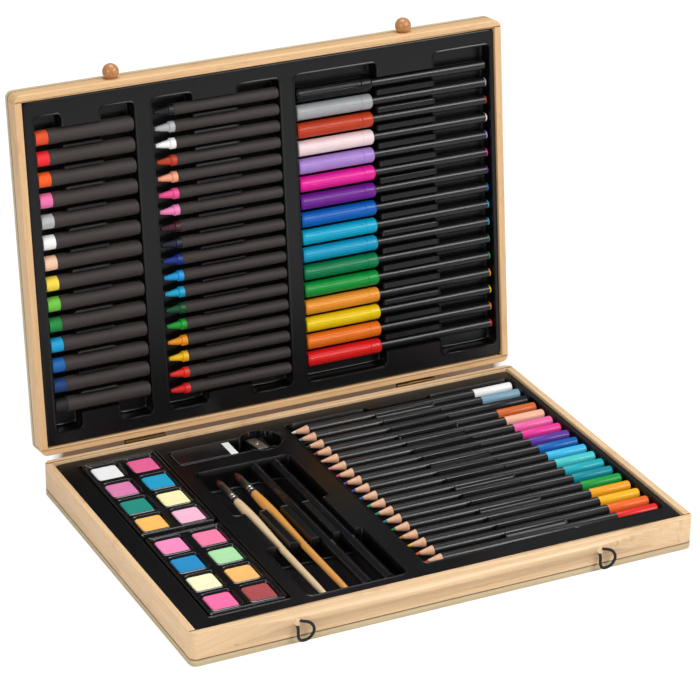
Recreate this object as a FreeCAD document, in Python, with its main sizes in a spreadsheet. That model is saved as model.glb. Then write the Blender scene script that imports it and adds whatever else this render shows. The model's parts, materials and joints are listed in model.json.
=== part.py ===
import FreeCAD, Part
import math
import os

import Sketcher
from FreeCAD import Placement, Rotation, Vector

# An open art set: a wooden base and a shallower lid hinged at the back, each with a formed tray.
# The base lies flat with its bottom at z = 0. The lid stands open on the stops of its two hinges.
# Places in a half case are counted from its left outer face and from its front face, which in the
# lid is the face at the hinge, and heights in a tray are counted up from the tray's top.

# Driving dimensions, in millimetres and degrees
SIZES = {
    # wooden case
    "case_width": 362.0,
    "case_depth": 254.0,
    "base_height": 24.0,
    "lid_height": 18.0,
    "wall": 5.0,
    "corner_radius": 4.8,
    "panel_thick": 5.0,
    "lid_angle": 96.3,
    # formed trays
    "sheet": 1.0,
    "tray_drop": 1.5,
    "tray_gap": 0.7,
    "tray_corner": 4.0,
    "skirt_deep": 3.0,
    "well_corner": 4.0,
    "fit_gap": 0.3,
    "overrun": 2.0,
    # hinges
    "hinge_inset": 76.0,
    "leaf_wide": 30.0,
    "leaf_tall": 12.0,
    "leaf_thick": 0.9,
    "knuckle_radius": 1.7,
    "knuckle_gap": 0.2,
    "lid_knuckle": 10.0,
    "side_play": 0.1,
    "pin_radius": 0.8,
    "pin_play": 0.05,
    "stop_reach": 8.5,
    "stop_play": 0.05,
    "screw_spread": 20.0,
    "screw_drop": 7.5,
    "shank_radius": 0.9,
    "shank_length": 4.4,
    "head_radius": 1.7,
    "head_tall": 0.8,
    # closing beads and elastic loops
    "bead_inset": 72.0,
    "bead_radius": 5.6,
    "bead_stand": 4.4,
    "bead_drop": 9.0,
    "peg_radius": 2.0,
    "peg_length": 4.0,
    "loop_height": 16.0,
    "loop_hole": 2.4,
    "cord_radius": 1.0,
    "strand_offset": 1.05,
    "knot_radius": 2.7,
    "knot_length": 4.5,
    # paint palettes
    "palette_left": 21.0,
    "palette_wide": 54.0,
    "palette_long": 108.0,
    "palette_tall": 10.0,
    "palette_deep": 9.0,
    "palette_front": 18.6,
    "palette_apart": 3.8,
    "palette_corner": 4.0,
    "palette_gap": 1.2,
    "palette_rim": 1.4,
    "palette_rim_tall": 0.8,
    "pan_wide": 20.4,
    "pan_long": 21.2,
    "pan_pitch": 26.0,
    "pan_spread": 26.4,
    "pan_deep": 5.0,
    "paint_gap": 0.1,
    "paint_tall": 4.2,
    # coloured pencils
    "pencil_first": 27.4,
    "pencil_pitch": 11.88,
    "pencil_radius": 3.6,
    "pencil_length": 175.0,
    "pencil_cone": 13.0,
    "pencil_point": 0.5,
    "pencil_tip": 174.6,
    "pencil_axis": 3.3,
    "pencil_well_left": 172.9,
    "pencil_bridge_left": 238.0,
    "pencil_bridge_right": 284.0,
    "pencil_well_right": 351.6,
    "pencil_well_margin": 6.4,
    # brushes and sketching pencils
    "brush_first": 100.3,
    "brush_pitch": 15.35,
    "brush_axis": 3.6,
    "brush_slot_radius": 4.2,
    "brush_well_left": 87.0,
    "brush_well_right": 157.0,
    "brush_well_front": 14.6,
    "brush_well_back": 195.6,
    "brush_bridge_front": 81.0,
    "brush_bridge_back": 130.0,
    "brush_end": 19.0,
    "small_brush_length": 169.0,
    "large_brush_length": 174.0,
    "small_ferrule": 24.0,
    "large_ferrule": 20.5,
    "small_tuft": 9.0,
    "large_tuft": 12.0,
    "belly_radius": 3.5,
    "neck_radius": 2.5,
    "tail_radius": 1.7,
    "ferrule_wall": 0.3,
    "tuft_radius": 2.1,
    "tuft_belly": 2.6,
    "tuft_tip": 0.5,
    "tenon": 9.0,
    "root": 6.0,
    "sketch_flats": 7.0,
    "sketch_length": 176.0,
    "sketch_back": 194.4,
    # eraser and sharpener
    "eraser_left": 84.0,
    "eraser_front": 212.0,
    "eraser_long": 43.5,
    "eraser_wide": 19.0,
    "eraser_tall": 11.4,
    "sleeve_long": 37.5,
    "sleeve_thick": 0.5,
    "slot_gap": 0.7,
    "slot_corner": 2.0,
    "slot_right": 137.0,
    "slot_deep": 11.0,
    "round_x": 148.6,
    "round_y": 222.5,
    "round_radius": 14.2,
    "sharp_long": 23.4,
    "sharp_wide": 14.0,
    "sharp_tall": 10.8,
    "sharp_low": 7.0,
    "bore_mouth": 3.9,
    "bore_tip": 0.9,
    "bore_height": 4.8,
    "bore_long": 21.0,
    "blade_long": 21.0,
    "blade_wide": 7.6,
    "blade_thick": 0.6,
    "blade_screw": 1.9,
    "blade_screw_tall": 0.7,
    "blade_screw_shank": 1.0,
    "blade_screw_deep": 2.4,
    # oil pastels
    "pastel_first": 32.6,
    "pastel_pitch": 14.57,
    "pastel_radius": 5.4,
    "pastel_left": 13.4,
    "pastel_length": 70.0,
    "pastel_axis": 4.7,
    "pastel_well_left": 12.8,
    "pastel_bridge_left": 32.0,
    "pastel_bridge_right": 60.0,
    "pastel_well_right": 84.2,
    # wax crayons
    "crayon_first": 27.0,
    "crayon_pitch": 11.76,
    "crayon_radius": 4.1,
    "crayon_cone": 10.5,
    "crayon_tip": 1.2,
    "crayon_left": 99.0,
    "crayon_length": 91.0,
    "crayon_axis": 3.6,
    "crayon_well_left": 96.6,
    "crayon_bridge_left": 126.4,
    "crayon_bridge_right": 159.4,
    "crayon_well_right": 190.8,
    # felt pens
    "pen_first": 29.7,
    "pen_pitch": 12.85,
    "pen_left": 203.4,
    "pen_length": 148.0,
    "barrel_radius": 3.5,
    "cap_radius": 5.4,
    "cap_length": 58.0,
    "cap_bore_long": 23.0,
    "pen_axis": 4.5,
    "pen_well_left": 202.2,
    "pen_bridge_left": 264.6,
    "pen_bridge_right": 309.0,
    "pen_well_right": 353.2,
    "lid_well_front": 14.6,
    "lid_well_back": 237.4,
}

# Long round pieces have this many flats, a multiple of four, so that one of them lies on a floor
FLATS = 12
CORD_FLATS = 4

COUNTS = {"pencils": 18, "pastels": 14, "crayons": 18, "pens": 16, "brush_slots": 4, "pan_rows": 4}

# Handle outline as shares: of the bare handle's length from its tail, and of the belly's radius
HANDLE_SHARES = [(0.05, 0.62), (0.45, 0.68), (0.64, 0.86), (0.76, 1.0), (0.86, 1.0), (0.95, 0.90)]

# A tuft narrows to its tip over this share of its bare length
TUFT_POINT_SHARE = 0.7

# Bead outline: how far round the ball its rings are, in degrees from its middle
BEAD_TURNS = [-25, 0, 25, 50, 72]

# Elastic loop: its points beside, out from and above its hole, in millimetres, as it lies
LOOP_ROUTE = [
    (0.0, -2.3, 1.05),
    (7.6, -3.7, -0.2),
    (11.0, -4.1, -6.6),
    (6.4, -4.2, -12.6),
    (-1.2, -3.8, -12.6),
    (0.0, -2.3, -1.05),
]

DOC = FreeCAD.newDocument("art_set")
SHEET = DOC.addObject("Spreadsheet::Sheet", "sizes")
for row, (alias, amount) in enumerate(list(SIZES.items()) + list(COUNTS.items()), start=1):
    SHEET.set(f"A{row}", alias)
    SHEET.set(f"B{row}", str(amount))
    SHEET.setAlias(f"B{row}", alias)
DOC.recompute()

NODES = []


class Size:
    """A length with its value and the spreadsheet formula that gives the same value."""

    def __init__(self, value, formula):
        self.value = value
        self.formula = formula

    def __add__(self, other):
        return Size(self.value + number(other), f"({self.formula} + {text(other)})")

    def __radd__(self, other):
        return Size(number(other) + self.value, f"({text(other)} + {self.formula})")

    def __sub__(self, other):
        return Size(self.value - number(other), f"({self.formula} - {text(other)})")

    def __rsub__(self, other):
        return Size(number(other) - self.value, f"({text(other)} - {self.formula})")

    def __mul__(self, other):
        return Size(self.value * number(other), f"({self.formula} * {text(other)})")

    def __rmul__(self, other):
        return Size(number(other) * self.value, f"({text(other)} * {self.formula})")

    def __truediv__(self, other):
        return Size(self.value / number(other), f"({self.formula} / {text(other)})")

    def __neg__(self):
        return Size(-self.value, f"(-1 * {self.formula})")


def number(item):
    """The plain value of a size or a number."""
    return item.value if isinstance(item, Size) else item


def text(item):
    """The formula of a size, or a number as text."""
    return item.formula if isinstance(item, Size) else repr(item)


def size(name):
    """The driving dimension of that name."""
    return Size(float(SHEET.get(name)), f"sizes.{name}")


def root(item):
    """The square root of a size."""
    return Size(math.sqrt(item.value), f"sqrt({item.formula})")


def bind(item, path, amount):
    """Ties a property of an object to a size."""
    if isinstance(amount, Size):
        item.setExpression(path, amount.formula)
    else:
        item.setExpression(path, repr(float(amount)))


# Placements of the two half cases


def base_place(x, y, z):
    """A place in the base, counted from its left face, its front face and its bottom."""
    left = number(x) - number(size("case_width")) / 2
    front = number(y) - number(size("case_depth")) / 2
    return Placement(Vector(left, front, number(z)), Rotation())


def lid_place(x, y, z):
    """A place in the open lid, counted from its left face, its hinge edge and its rim plane."""
    angle = math.radians(number(size("lid_angle")))
    offset = number(size("knuckle_radius") + size("knuckle_gap"))
    back = number(size("case_depth")) / 2 + offset * (1 - math.cos(angle))
    height = number(size("base_height")) + offset * math.sin(angle)
    turn = Rotation(Vector(1, 0, 0), 180 - number(size("lid_angle")))
    hinge_edge = Placement(Vector(-number(size("case_width")) / 2, back, height), turn)
    return hinge_edge.multiply(Placement(Vector(number(x), number(y), number(z)), Rotation()))


# Bodies, sketches and features


def new_body(label, place):
    """An empty body with its name and place, which becomes a node of the object."""
    body = DOC.addObject("PartDesign::Body", label)
    body.Label = label
    body.AllowCompound = True
    body.Placement = place
    NODES.append(body)
    return body


def origin_part(body, role):
    """One of a body's own origin planes or axes."""
    return next(item for item in body.Origin.OriginFeatures if item.Role == role)


def new_sketch(body, name, role, offset=0):
    """A sketch on one of the body's origin planes, moved along its normal by the offset."""
    sketch = body.newObject("Sketcher::SketchObject", f"{body.Label}_{name}")
    sketch.AttachmentSupport = [(origin_part(body, role), "")]
    sketch.MapMode = "FlatFace"
    if isinstance(offset, Size):
        sketch.setExpression("AttachmentOffset.Base.z", offset.formula)
    return sketch


def hold(sketch, line, end, x, y):
    """Holds one end of a sketch line, or a centre, at its two distances from the origin."""
    for kind, amount, axis in (("DistanceX", x, -2), ("DistanceY", y, -1)):
        if isinstance(amount, Size):
            limit = Sketcher.Constraint(kind, -1, 1, line, end, amount.value)
            index = sketch.addConstraint(limit)
            sketch.setExpression(f"Constraints[{index}]", amount.formula)
        else:
            sketch.addConstraint(Sketcher.Constraint("PointOnObject", line, end, axis))


def outline(sketch, points):
    """A closed outline of straight lines through the points."""
    first = sketch.GeometryCount
    count = len(points)
    spots = [Vector(number(x), number(y), 0) for x, y in points]
    for i in range(count):
        sketch.addGeometry(Part.LineSegment(spots[i], spots[(i + 1) % count]))
    for i in range(count):
        joined = Sketcher.Constraint("Coincident", first + i, 2, first + (i + 1) % count, 1)
        sketch.addConstraint(joined)
        hold(sketch, first + i, 1, *points[i])


def rounded(sketch, x0, x1, y0, y1, radius):
    """A rectangle with round corners: four lines and four arcs, tangent where they meet."""
    a, b, c, d, r = number(x0), number(x1), number(y0), number(y1), number(radius)
    first = sketch.GeometryCount
    corners = [(b - r, c + r, -90), (b - r, d - r, 0), (a + r, d - r, 90), (a + r, c + r, 180)]
    lines = [(a + r, c, b - r, c), (b, c + r, b, d - r), (b - r, d, a + r, d), (a, d - r, a, c + r)]
    for (u, v, start), (p, q, s, w) in zip(corners, lines):
        sketch.addGeometry(Part.LineSegment(Vector(p, q, 0), Vector(s, w, 0)))
        ring = Part.Circle(Vector(u, v, 0), Vector(0, 0, 1), r)
        low = math.radians(start)
        sketch.addGeometry(Part.ArcOfCircle(ring, low, low + math.pi / 2))
    for i in range(4):
        line = first + 2 * i
        after = first + (2 * i + 2) % 8
        sketch.addConstraint(Sketcher.Constraint("Tangent", line, 2, line + 1, 1))
        sketch.addConstraint(Sketcher.Constraint("Tangent", line + 1, 2, after, 1))
        sketch.addConstraint(Sketcher.Constraint("Vertical" if i % 2 else "Horizontal", line))
        index = sketch.addConstraint(Sketcher.Constraint("Radius", line + 1, r))
        sketch.setExpression(f"Constraints[{index}]", text(radius))
    sides = ((0, "DistanceY", y0), (1, "DistanceX", x1), (2, "DistanceY", y1), (3, "DistanceX", x0))
    for i, kind, amount in sides:
        limit = Sketcher.Constraint(kind, -1, 1, first + 2 * i, 1, number(amount))
        index = sketch.addConstraint(limit)
        sketch.setExpression(f"Constraints[{index}]", text(amount))


def clipped(sketch, x0, x1, y0, y1, radius):
    """A rectangle whose corners are cut straight, just outside round corners of that radius."""
    cut = radius * (2 - math.sqrt(2))
    points = [(x0 + cut, y0), (x1 - cut, y0), (x1, y0 + cut), (x1, y1 - cut)]
    points += [(x1 - cut, y1), (x0 + cut, y1), (x0, y1 - cut), (x0, y0 + cut)]
    outline(sketch, points)


def square(x0, x1, y0, y1):
    """The four corners of a rectangle."""
    return [(x0, y0), (x1, y0), (x1, y1), (x0, y1)]


def ring(x, y, radius):
    """The corners of a regular outline about a centre. The radius is to its flats."""
    reach = 1 / math.cos(math.pi / FLATS)
    turns = [math.pi * (2 * i + 1) / FLATS for i in range(FLATS)]
    return [(x + radius * (reach * math.cos(a)), y + radius * (reach * math.sin(a))) for a in turns]


def circle(sketch, x, y, radius):
    """A circle about a held centre."""
    centre = Vector(number(x), number(y), 0)
    index = sketch.addGeometry(Part.Circle(centre, Vector(0, 0, 1), number(radius)))
    hold(sketch, index, 3, x, y)
    limit = sketch.addConstraint(Sketcher.Constraint("Radius", index, number(radius)))
    sketch.setExpression(f"Constraints[{limit}]", text(radius))


def feature(body, kind, name, sketch):
    """A feature of the body, made from one of its sketches, that becomes the body's tip."""
    item = body.newObject(f"PartDesign::{kind}", f"{body.Label}_{name}")
    item.Profile = sketch
    sketch.Visibility = False
    body.Tip = item
    return item


def pad(body, name, sketch, length, backwards=False):
    """Adds a sketch's outline along its normal, or against it."""
    item = feature(body, "Pad", name, sketch)
    item.Reversed = backwards
    bind(item, "Length", length)
    return item


def pocket(body, name, sketch, length, forwards=False):
    """Cuts a sketch's outline against its normal, or along it."""
    item = feature(body, "Pocket", name, sketch)
    item.Reversed = forwards
    bind(item, "Length", length)
    return item


def lofted(body, name, role, stations, x=0, y=0):
    """A turned piece of many flats through rings, each given by its place and its radius.

    It lies along the body's X from the side plane, or along its Y from the front plane.
    """
    way = 1 if role == "YZ_Plane" else -1
    rings = []
    for index, (place, radius) in enumerate(stations):
        sketch = new_sketch(body, f"{name}_{index}", role, place * way)
        outline(sketch, ring(x, y, radius))
        sketch.Visibility = False
        rings.append(sketch)
    item = feature(body, "AdditiveLoft", name, rings[0])
    item.Sections = rings[1:]
    item.Ruled = True


def stick(body, name, role, start, finish, radius, x=0, y=0):
    """A straight piece of many flats, along the body's X or its Y."""
    along_x = role == "YZ_Plane"
    sketch = new_sketch(body, f"{name}_end", role, start if along_x else -start)
    outline(sketch, ring(x, y, radius))
    return pad(body, name, sketch, finish - start, backwards=not along_x)


def bored(body, name, role, start, finish, radius, x=0, y=0):
    """A straight bore of many flats, along the body's X or its Y."""
    along_x = role == "YZ_Plane"
    sketch = new_sketch(body, f"{name}_end", role, start if along_x else -start)
    outline(sketch, ring(x, y, radius))
    return pocket(body, name, sketch, finish - start, forwards=along_x)


def tapered(body, name, axis, place, along, across, reach=None):
    """Bevels the flats of an end at a place on the body's X or Y, so that it narrows to the end.

    With a reach, only the edges within it of the end's middle are bevelled, which are a bore's.
    """
    DOC.recompute()
    base = body.Tip
    spot = number(place)
    names = []
    for index, edge in enumerate(base.Shape.Edges, start=1):
        ends = [vertex.Point for vertex in edge.Vertexes]
        if all(abs(getattr(point, axis) - spot) < 0.001 for point in ends):
            if reach is None or all((point - reach[0]).Length < reach[1] for point in ends):
                names.append(f"Edge{index}")
    item = body.newObject("PartDesign::Chamfer", f"{body.Label}_{name}")
    item.Base = (base, names)
    item.ChamferType = "Two distances"
    bind(item, "Size", along)
    bind(item, "Size2", across)
    body.Tip = item
    DOC.recompute()
    if "Invalid" in item.State:
        item.FlipDirection = True


def repeated(body, name, items, role, pitch, count):
    """Repeats features, or with none the whole body, at a steady pitch along one of its axes."""
    pattern = body.newObject("PartDesign::LinearPattern", f"{body.Label}_{name}")
    if items:
        pattern.Originals = items
    else:
        pattern.TransformMode = "Whole shape"
    pattern.Direction = (origin_part(body, role), [""])
    bind(pattern, "Length", pitch * (count - 1))
    pattern.Occurrences = count
    body.Tip = pattern


# Wooden half cases


def half_case(prefix, place, tall, holes):
    """Front, back and side boards butted at the corners, on a panel glued under all four.

    Heights count up from the outer face of the panel, so the rim is at the half's height.
    """
    width, depth, wall = size("case_width"), size("case_depth"), size("wall")
    radius, thick = size("corner_radius"), size("panel_thick")
    for name, near, far in (("front", 0, wall), ("back", depth - wall, depth)):
        body = new_body(f"{prefix}_{name}_wall", place)
        board(body, "board", (0, width, near, far), tall)
        outer = number(near) if name == "front" else number(far)
        round_edges(body, [(0, outer), (width.value, outer)], radius)
        holes(body, name == "front", tall)
    body = new_body(f"{prefix}_side_walls", place)
    for name, near, far in (("left", 0, wall), ("right", width - wall, width)):
        board(body, name, (near, far, wall, depth - wall), tall)
    body = new_body(f"{prefix}_panel", place)
    flat = new_sketch(body, "plan", "XY_Plane")
    rounded(flat, 0, width, 0, depth, radius)
    pad(body, "sheet", flat, thick)


def board(body, name, area, tall):
    """An upright board on the panel, given by its sides' places from above."""
    x0, x1, y0, y1 = area
    flat = new_sketch(body, f"{name}_plan", "XY_Plane", size("panel_thick"))
    outline(flat, square(x0, x1, y0, y1))
    pad(body, name, flat, tall - size("panel_thick"))


def round_edges(body, places, radius):
    """Rounds the upright edges of a body that stand at the given places."""
    DOC.recompute()
    names = []
    for index, edge in enumerate(body.Tip.Shape.Edges, start=1):
        ends = [vertex.Point for vertex in edge.Vertexes]
        level = any(abs(ends[0].x - x) < 0.1 and abs(ends[0].y - y) < 0.1 for x, y in places)
        if level and abs(ends[0].z - ends[-1].z) > 1:
            names.append(f"Edge{index}")
    base = body.Tip
    fillet = body.newObject("PartDesign::Fillet", f"{body.Label}_rounding")
    fillet.Base = (base, names)
    bind(fillet, "Radius", radius)
    body.Tip = fillet


def base_holes(body, front, tall):
    """Holes for the elastic loops in the front board, and for the hinge screws in the back one."""
    if front:
        sketch = new_sketch(body, "loop_holes", "XZ_Plane")
        for x in (size("bead_inset"), size("case_width") - size("bead_inset")):
            outline(sketch, ring(x, size("loop_height"), size("loop_hole")))
        pocket(body, "loop_hole_cut", sketch, size("wall"), forwards=False)
    else:
        sketch = new_sketch(body, "screw_holes", "XZ_Plane", -size("case_depth"))
        for x in screw_places():
            outline(sketch, ring(x, tall - size("screw_drop"), size("shank_radius")))
        pocket(body, "screw_hole_cut", sketch, shank_in_wood(), forwards=True)


def lid_holes(body, front, tall):
    """Holes for the bead pegs in the lid's front board, and for the hinge screws in the other."""
    # the lid's own front face is the one at the hinge
    if front:
        sketch = new_sketch(body, "screw_holes", "XZ_Plane")
        for x in screw_places():
            outline(sketch, ring(x, tall - size("screw_drop"), size("shank_radius")))
        pocket(body, "screw_hole_cut", sketch, shank_in_wood(), forwards=False)
    else:
        sketch = new_sketch(body, "peg_holes", "XZ_Plane", -size("case_depth"))
        for x in (size("bead_inset"), size("case_width") - size("bead_inset")):
            outline(sketch, ring(x, tall - size("bead_drop"), size("peg_radius")))
        pocket(body, "peg_hole_cut", sketch, size("peg_length"), forwards=True)


def shank_in_wood():
    """How far a hinge screw's shank goes into the wood."""
    return size("shank_length") - size("leaf_thick")


def hinge_centres():
    """The two hinges' middles, counted from the left face."""
    return (size("hinge_inset"), size("case_width") - size("hinge_inset"))


def screw_places():
    """The four hinge screws of one half case, counted from the left face."""
    half = size("screw_spread") / 2
    return [x + way * half for x in hinge_centres() for way in (-1, 1)]


# Formed trays


def tray_plate(body):
    """The tray's top sheet and the skirt turned down round its edge."""
    edge = size("wall") + size("tray_gap")
    right = size("case_width") - edge
    back = size("case_depth") - edge
    corner = size("tray_corner")
    flat = new_sketch(body, "plate_plan", "XY_Plane")
    rounded(flat, edge, right, edge, back, corner)
    pad(body, "plate", flat, size("sheet"), backwards=True)
    thin = size("sheet")
    rim = new_sketch(body, "skirt_plan", "XY_Plane")
    rounded(rim, edge, right, edge, back, corner)
    clipped(rim, edge + thin, right - thin, edge + thin, back - thin, corner)
    pad(body, "skirt", rim, size("skirt_deep"), backwards=True)


def tubs(body, name, areas, deep, corner, cut):
    """Formed tubs: their outsides are added one sheet larger, or their insides are cut."""
    thin = size("sheet")
    flat = new_sketch(body, name, "XY_Plane")
    for x0, x1, y0, y1 in areas:
        if cut:
            rounded(flat, x0, x1, y0, y1, corner)
        else:
            clipped(flat, x0 - thin, x1 + thin, y0 - thin, y1 + thin, corner + thin)
    if cut:
        pocket(body, f"{name}_feature", flat, deep)
    else:
        pad(body, f"{name}_feature", flat, deep + thin, backwards=True)


def groove_outline(sketch, middle, half, deep, cut):
    """A groove across its length: its inside, or its outside one sheet larger."""
    thin = 0 if cut else size("sheet")
    wide, floor = half + thin, -(deep + thin)
    top = size("overrun") if cut else 0
    outline(sketch, square(middle - wide, middle + wide, floor, top))


def grooves(body, name, row, cut):
    """A row of grooves across a bridge between two wells."""
    plane = "YZ_Plane" if row["along"] == "X" else "XZ_Plane"
    start, finish = row["bridge"]
    reach = size("overrun") if cut else size("sheet") / 2
    half = row["radius"] + size("fit_gap")
    deep = row["axis"] + row["radius"]
    # the normal of the front plane points to the front, so its offset and its way are turned round
    forwards = row["along"] == "X"
    sketch = new_sketch(body, name, plane, start - reach if forwards else -(start - reach))
    groove_outline(sketch, row["first"], half, deep, cut)
    length = finish - start + reach * 2
    if cut:
        item = pocket(body, f"{name}_feature", sketch, length, forwards=forwards)
    else:
        item = pad(body, f"{name}_feature", sketch, length, backwards=not forwards)
    role = "Y_Axis" if row["along"] == "X" else "X_Axis"
    repeated(body, f"{name}_row", [item], role, row["pitch"], row["count"])


def tool_row(key, along, first, pitch, count, radius, axis, ends):
    """What a row of grooves needs: the bridge, the pitch, and the tool's radius and depth."""
    row = {"key": key, "along": along, "first": first, "pitch": pitch, "count": count}
    row.update({"radius": radius, "axis": axis, "bridge": ends})
    return row


def simple_row(key, count, radius, axis):
    """A row whose sizes are named after its tool."""
    ends = (size(f"{key}_bridge_left"), size(f"{key}_bridge_right"))
    return tool_row(key, "X", size(f"{key}_first"), size(f"{key}_pitch"), count, radius, axis, ends)


def row_wells(key, front, back):
    """The two finger wells at the ends of a row."""
    left = (size(f"{key}_well_left"), size(f"{key}_bridge_left"), front, back)
    right = (size(f"{key}_bridge_right"), size(f"{key}_well_right"), front, back)
    return [left, right]


def well_deep(tall):
    """A finger well's depth in a half of that height: its sheet rests on the panel."""
    return tall - size("tray_drop") - size("panel_thick") - size("sheet")


def tray_top():
    """The height of the base tray's top."""
    return size("base_height") - size("tray_drop")


def base_tray():
    """The base's tray, with its palette recess, brush and pencil wells, eraser and sharpener seats."""
    body = new_body("base_tray", base_place(0, 0, tray_top()))
    tray_plate(body)
    pencil = simple_row("pencil", COUNTS["pencils"], size("pencil_radius"), size("pencil_axis"))
    ends = (size("brush_bridge_front"), size("brush_bridge_back"))
    brush = tool_row("brush", "Y", size("brush_first"), size("brush_pitch"), COUNTS["brush_slots"],
                     size("brush_slot_radius"), size("brush_axis"), ends)
    margin = size("pencil_well_margin")
    front = size("pencil_first") - margin
    back = size("pencil_first") + size("pencil_pitch") * (COUNTS["pencils"] - 1) + margin
    left, right = size("brush_well_left"), size("brush_well_right")
    deep_areas = row_wells("pencil", front, back)
    deep_areas.append((left, right, size("brush_well_front"), size("brush_bridge_front")))
    deep_areas.append((left, right, size("brush_bridge_back"), size("brush_well_back")))
    gap = size("palette_gap")
    palette_back = size("palette_front") + size("palette_long") * 2 + size("palette_apart")
    recess = [(size("palette_left") - gap, size("palette_left") + size("palette_wide") + gap,
               size("palette_front") - gap, palette_back + gap)]
    slack = size("slot_gap")
    corner = size("well_corner")
    slot = [(size("eraser_left") - slack, size("slot_right"),
             size("eraser_front") - slack, size("eraser_front") + size("eraser_wide") + slack)]
    for cut in (False, True):
        word = "inside" if cut else "outside"
        tubs(body, f"well_{word}", deep_areas, well_deep(size("base_height")), corner, cut)
        tubs(body, f"recess_{word}", recess, size("palette_deep"), corner, cut)
        tubs(body, f"slot_{word}", slot, size("slot_deep"), size("slot_corner"), cut)
        seat = new_sketch(body, f"seat_{word}", "XY_Plane")
        radius = size("round_radius") + (0 if cut else size("sheet"))
        circle(seat, size("round_x"), size("round_y"), radius)
        if cut:
            pocket(body, f"seat_{word}_feature", seat, size("slot_deep"))
        else:
            pad(body, f"seat_{word}_feature", seat, size("slot_deep") + size("sheet"), backwards=True)
        grooves(body, f"pencil_{word}", pencil, cut)
        grooves(body, f"brush_{word}", brush, cut)


def lid_tray():
    """The lid's tray, with a bridge and two finger wells for each row of tools."""
    body = new_body("lid_tray", lid_place(0, 0, -size("tray_drop")))
    tray_plate(body)
    rows = [
        simple_row("pastel", COUNTS["pastels"], size("pastel_radius"), size("pastel_axis")),
        simple_row("crayon", COUNTS["crayons"], size("crayon_radius"), size("crayon_axis")),
        simple_row("pen", COUNTS["pens"], size("barrel_radius"), size("pen_axis")),
    ]
    areas = []
    corner = size("well_corner")
    for row in rows:
        areas += row_wells(row["key"], size("lid_well_front"), size("lid_well_back"))
    for cut in (False, True):
        word = "inside" if cut else "outside"
        tubs(body, f"well_{word}", areas, well_deep(size("lid_height")), corner, cut)
        for row in rows:
            grooves(body, f"{row['key']}_{word}", row, cut)


# Tools that lie in the trays


def base_tool(label, x, y, below):
    """A body in the base, its origin at x, y and a depth below the tray's top."""
    return new_body(label, base_place(x, y, tray_top() - below))


def lid_tool(label, x, y, below):
    """A body in the lid, its origin at x, y and a depth below the tray's top."""
    return new_body(label, lid_place(x, y, -(size("tray_drop") + below)))


def pencils():
    """Coloured pencils, each a straight barrel sharpened to a cone."""
    radius, cone = size("pencil_radius"), size("pencil_cone")
    for i in range(COUNTS["pencils"]):
        y = size("pencil_first") + size("pencil_pitch") * (COUNTS["pencils"] - 1 - i)
        body = base_tool(f"pencil_{i + 1:02d}", size("pencil_tip"), y, size("pencil_axis"))
        stick(body, "barrel", "YZ_Plane", 0, size("pencil_length"), radius)
        tapered(body, "point", "x", 0, cone, radius - size("pencil_point"))


def lid_row(label, key):
    """The first tool of a row in the lid, its body's origin at the tool's left end."""
    return lid_tool(label, size(f"{key}_left"), size(f"{key}_first"), size(f"{key}_axis"))


def pastels():
    """Square-cut oil pastels."""
    body = lid_row("pastels", "pastel")
    item = stick(body, "stick", "YZ_Plane", 0, size("pastel_length"), size("pastel_radius"))
    repeated(body, "row", [item], "Y_Axis", size("pastel_pitch"), COUNTS["pastels"])


def crayons():
    """Wax crayons, each with a blunt cone."""
    radius = size("crayon_radius")
    body = lid_row("crayons", "crayon")
    stick(body, "stick", "YZ_Plane", 0, size("crayon_length"), radius)
    tapered(body, "cone", "x", 0, size("crayon_cone"), radius - size("crayon_tip"))
    repeated(body, "row", None, "Y_Axis", size("crayon_pitch"), COUNTS["crayons"])


def pens():
    """Felt pens: a barrel pressed into a bored cap."""
    radius, cap = size("barrel_radius"), size("cap_radius")
    cap_end, pen_end = size("cap_length"), size("pen_length")
    start = cap_end - size("cap_bore_long")
    body = lid_row("pen_barrels", "pen")
    item = stick(body, "barrel", "YZ_Plane", start, pen_end, radius)
    repeated(body, "row", [item], "Y_Axis", size("pen_pitch"), COUNTS["pens"])
    body = lid_row("pen_caps", "pen")
    items = [
        stick(body, "cap", "YZ_Plane", 0, cap_end, cap),
        bored(body, "bore", "YZ_Plane", start, cap_end, radius),
    ]
    repeated(body, "row", items, "Y_Axis", size("pen_pitch"), COUNTS["pens"])


def brush(side, slot, length, ferrule, tuft):
    """A round brush: a bellied handle with a tenon, a tube ferrule and a tuft with its root inside."""
    x = size("brush_first") + size("brush_pitch") * slot
    belly, neck, tail = size("belly_radius"), size("neck_radius"), size("tail_radius")
    wall, tenon, mouth = size("ferrule_wall"), size("tenon"), size("tuft_radius")
    handle_end = length - tuft - ferrule
    tenon_end = handle_end + tenon
    top = handle_end + ferrule
    below = size("brush_axis") + size("brush_slot_radius") - belly
    body = base_tool(f"{side}_brush_handle", x, size("brush_end"), below)
    stations = [(0, tail)] + [(handle_end * along, belly * out) for along, out in HANDLE_SHARES]
    lofted(body, "handle", "XZ_Plane", stations + [(handle_end, neck + wall)])
    stick(body, "tenon", "XZ_Plane", handle_end, tenon_end, neck)
    body = base_tool(f"{side}_brush_ferrule", x, size("brush_end"), below)
    stick(body, "tube", "XZ_Plane", handle_end, top, neck + wall)
    tapered(body, "taper", "y", top, ferrule - tenon, neck - mouth)
    bored(body, "tenon_bore", "XZ_Plane", handle_end, tenon_end, neck)
    bored(body, "tuft_bore", "XZ_Plane", tenon_end, top, mouth)
    body = base_tool(f"{side}_brush_tuft", x, size("brush_end"), below)
    full = size("tuft_belly")
    stick(body, "hair", "XZ_Plane", top, top + tuft, full)
    tapered(body, "tip", "y", top + tuft, tuft * TUFT_POINT_SHARE, full - size("tuft_tip"))
    stick(body, "bound_hair", "XZ_Plane", top - size("root"), top, mouth)


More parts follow.
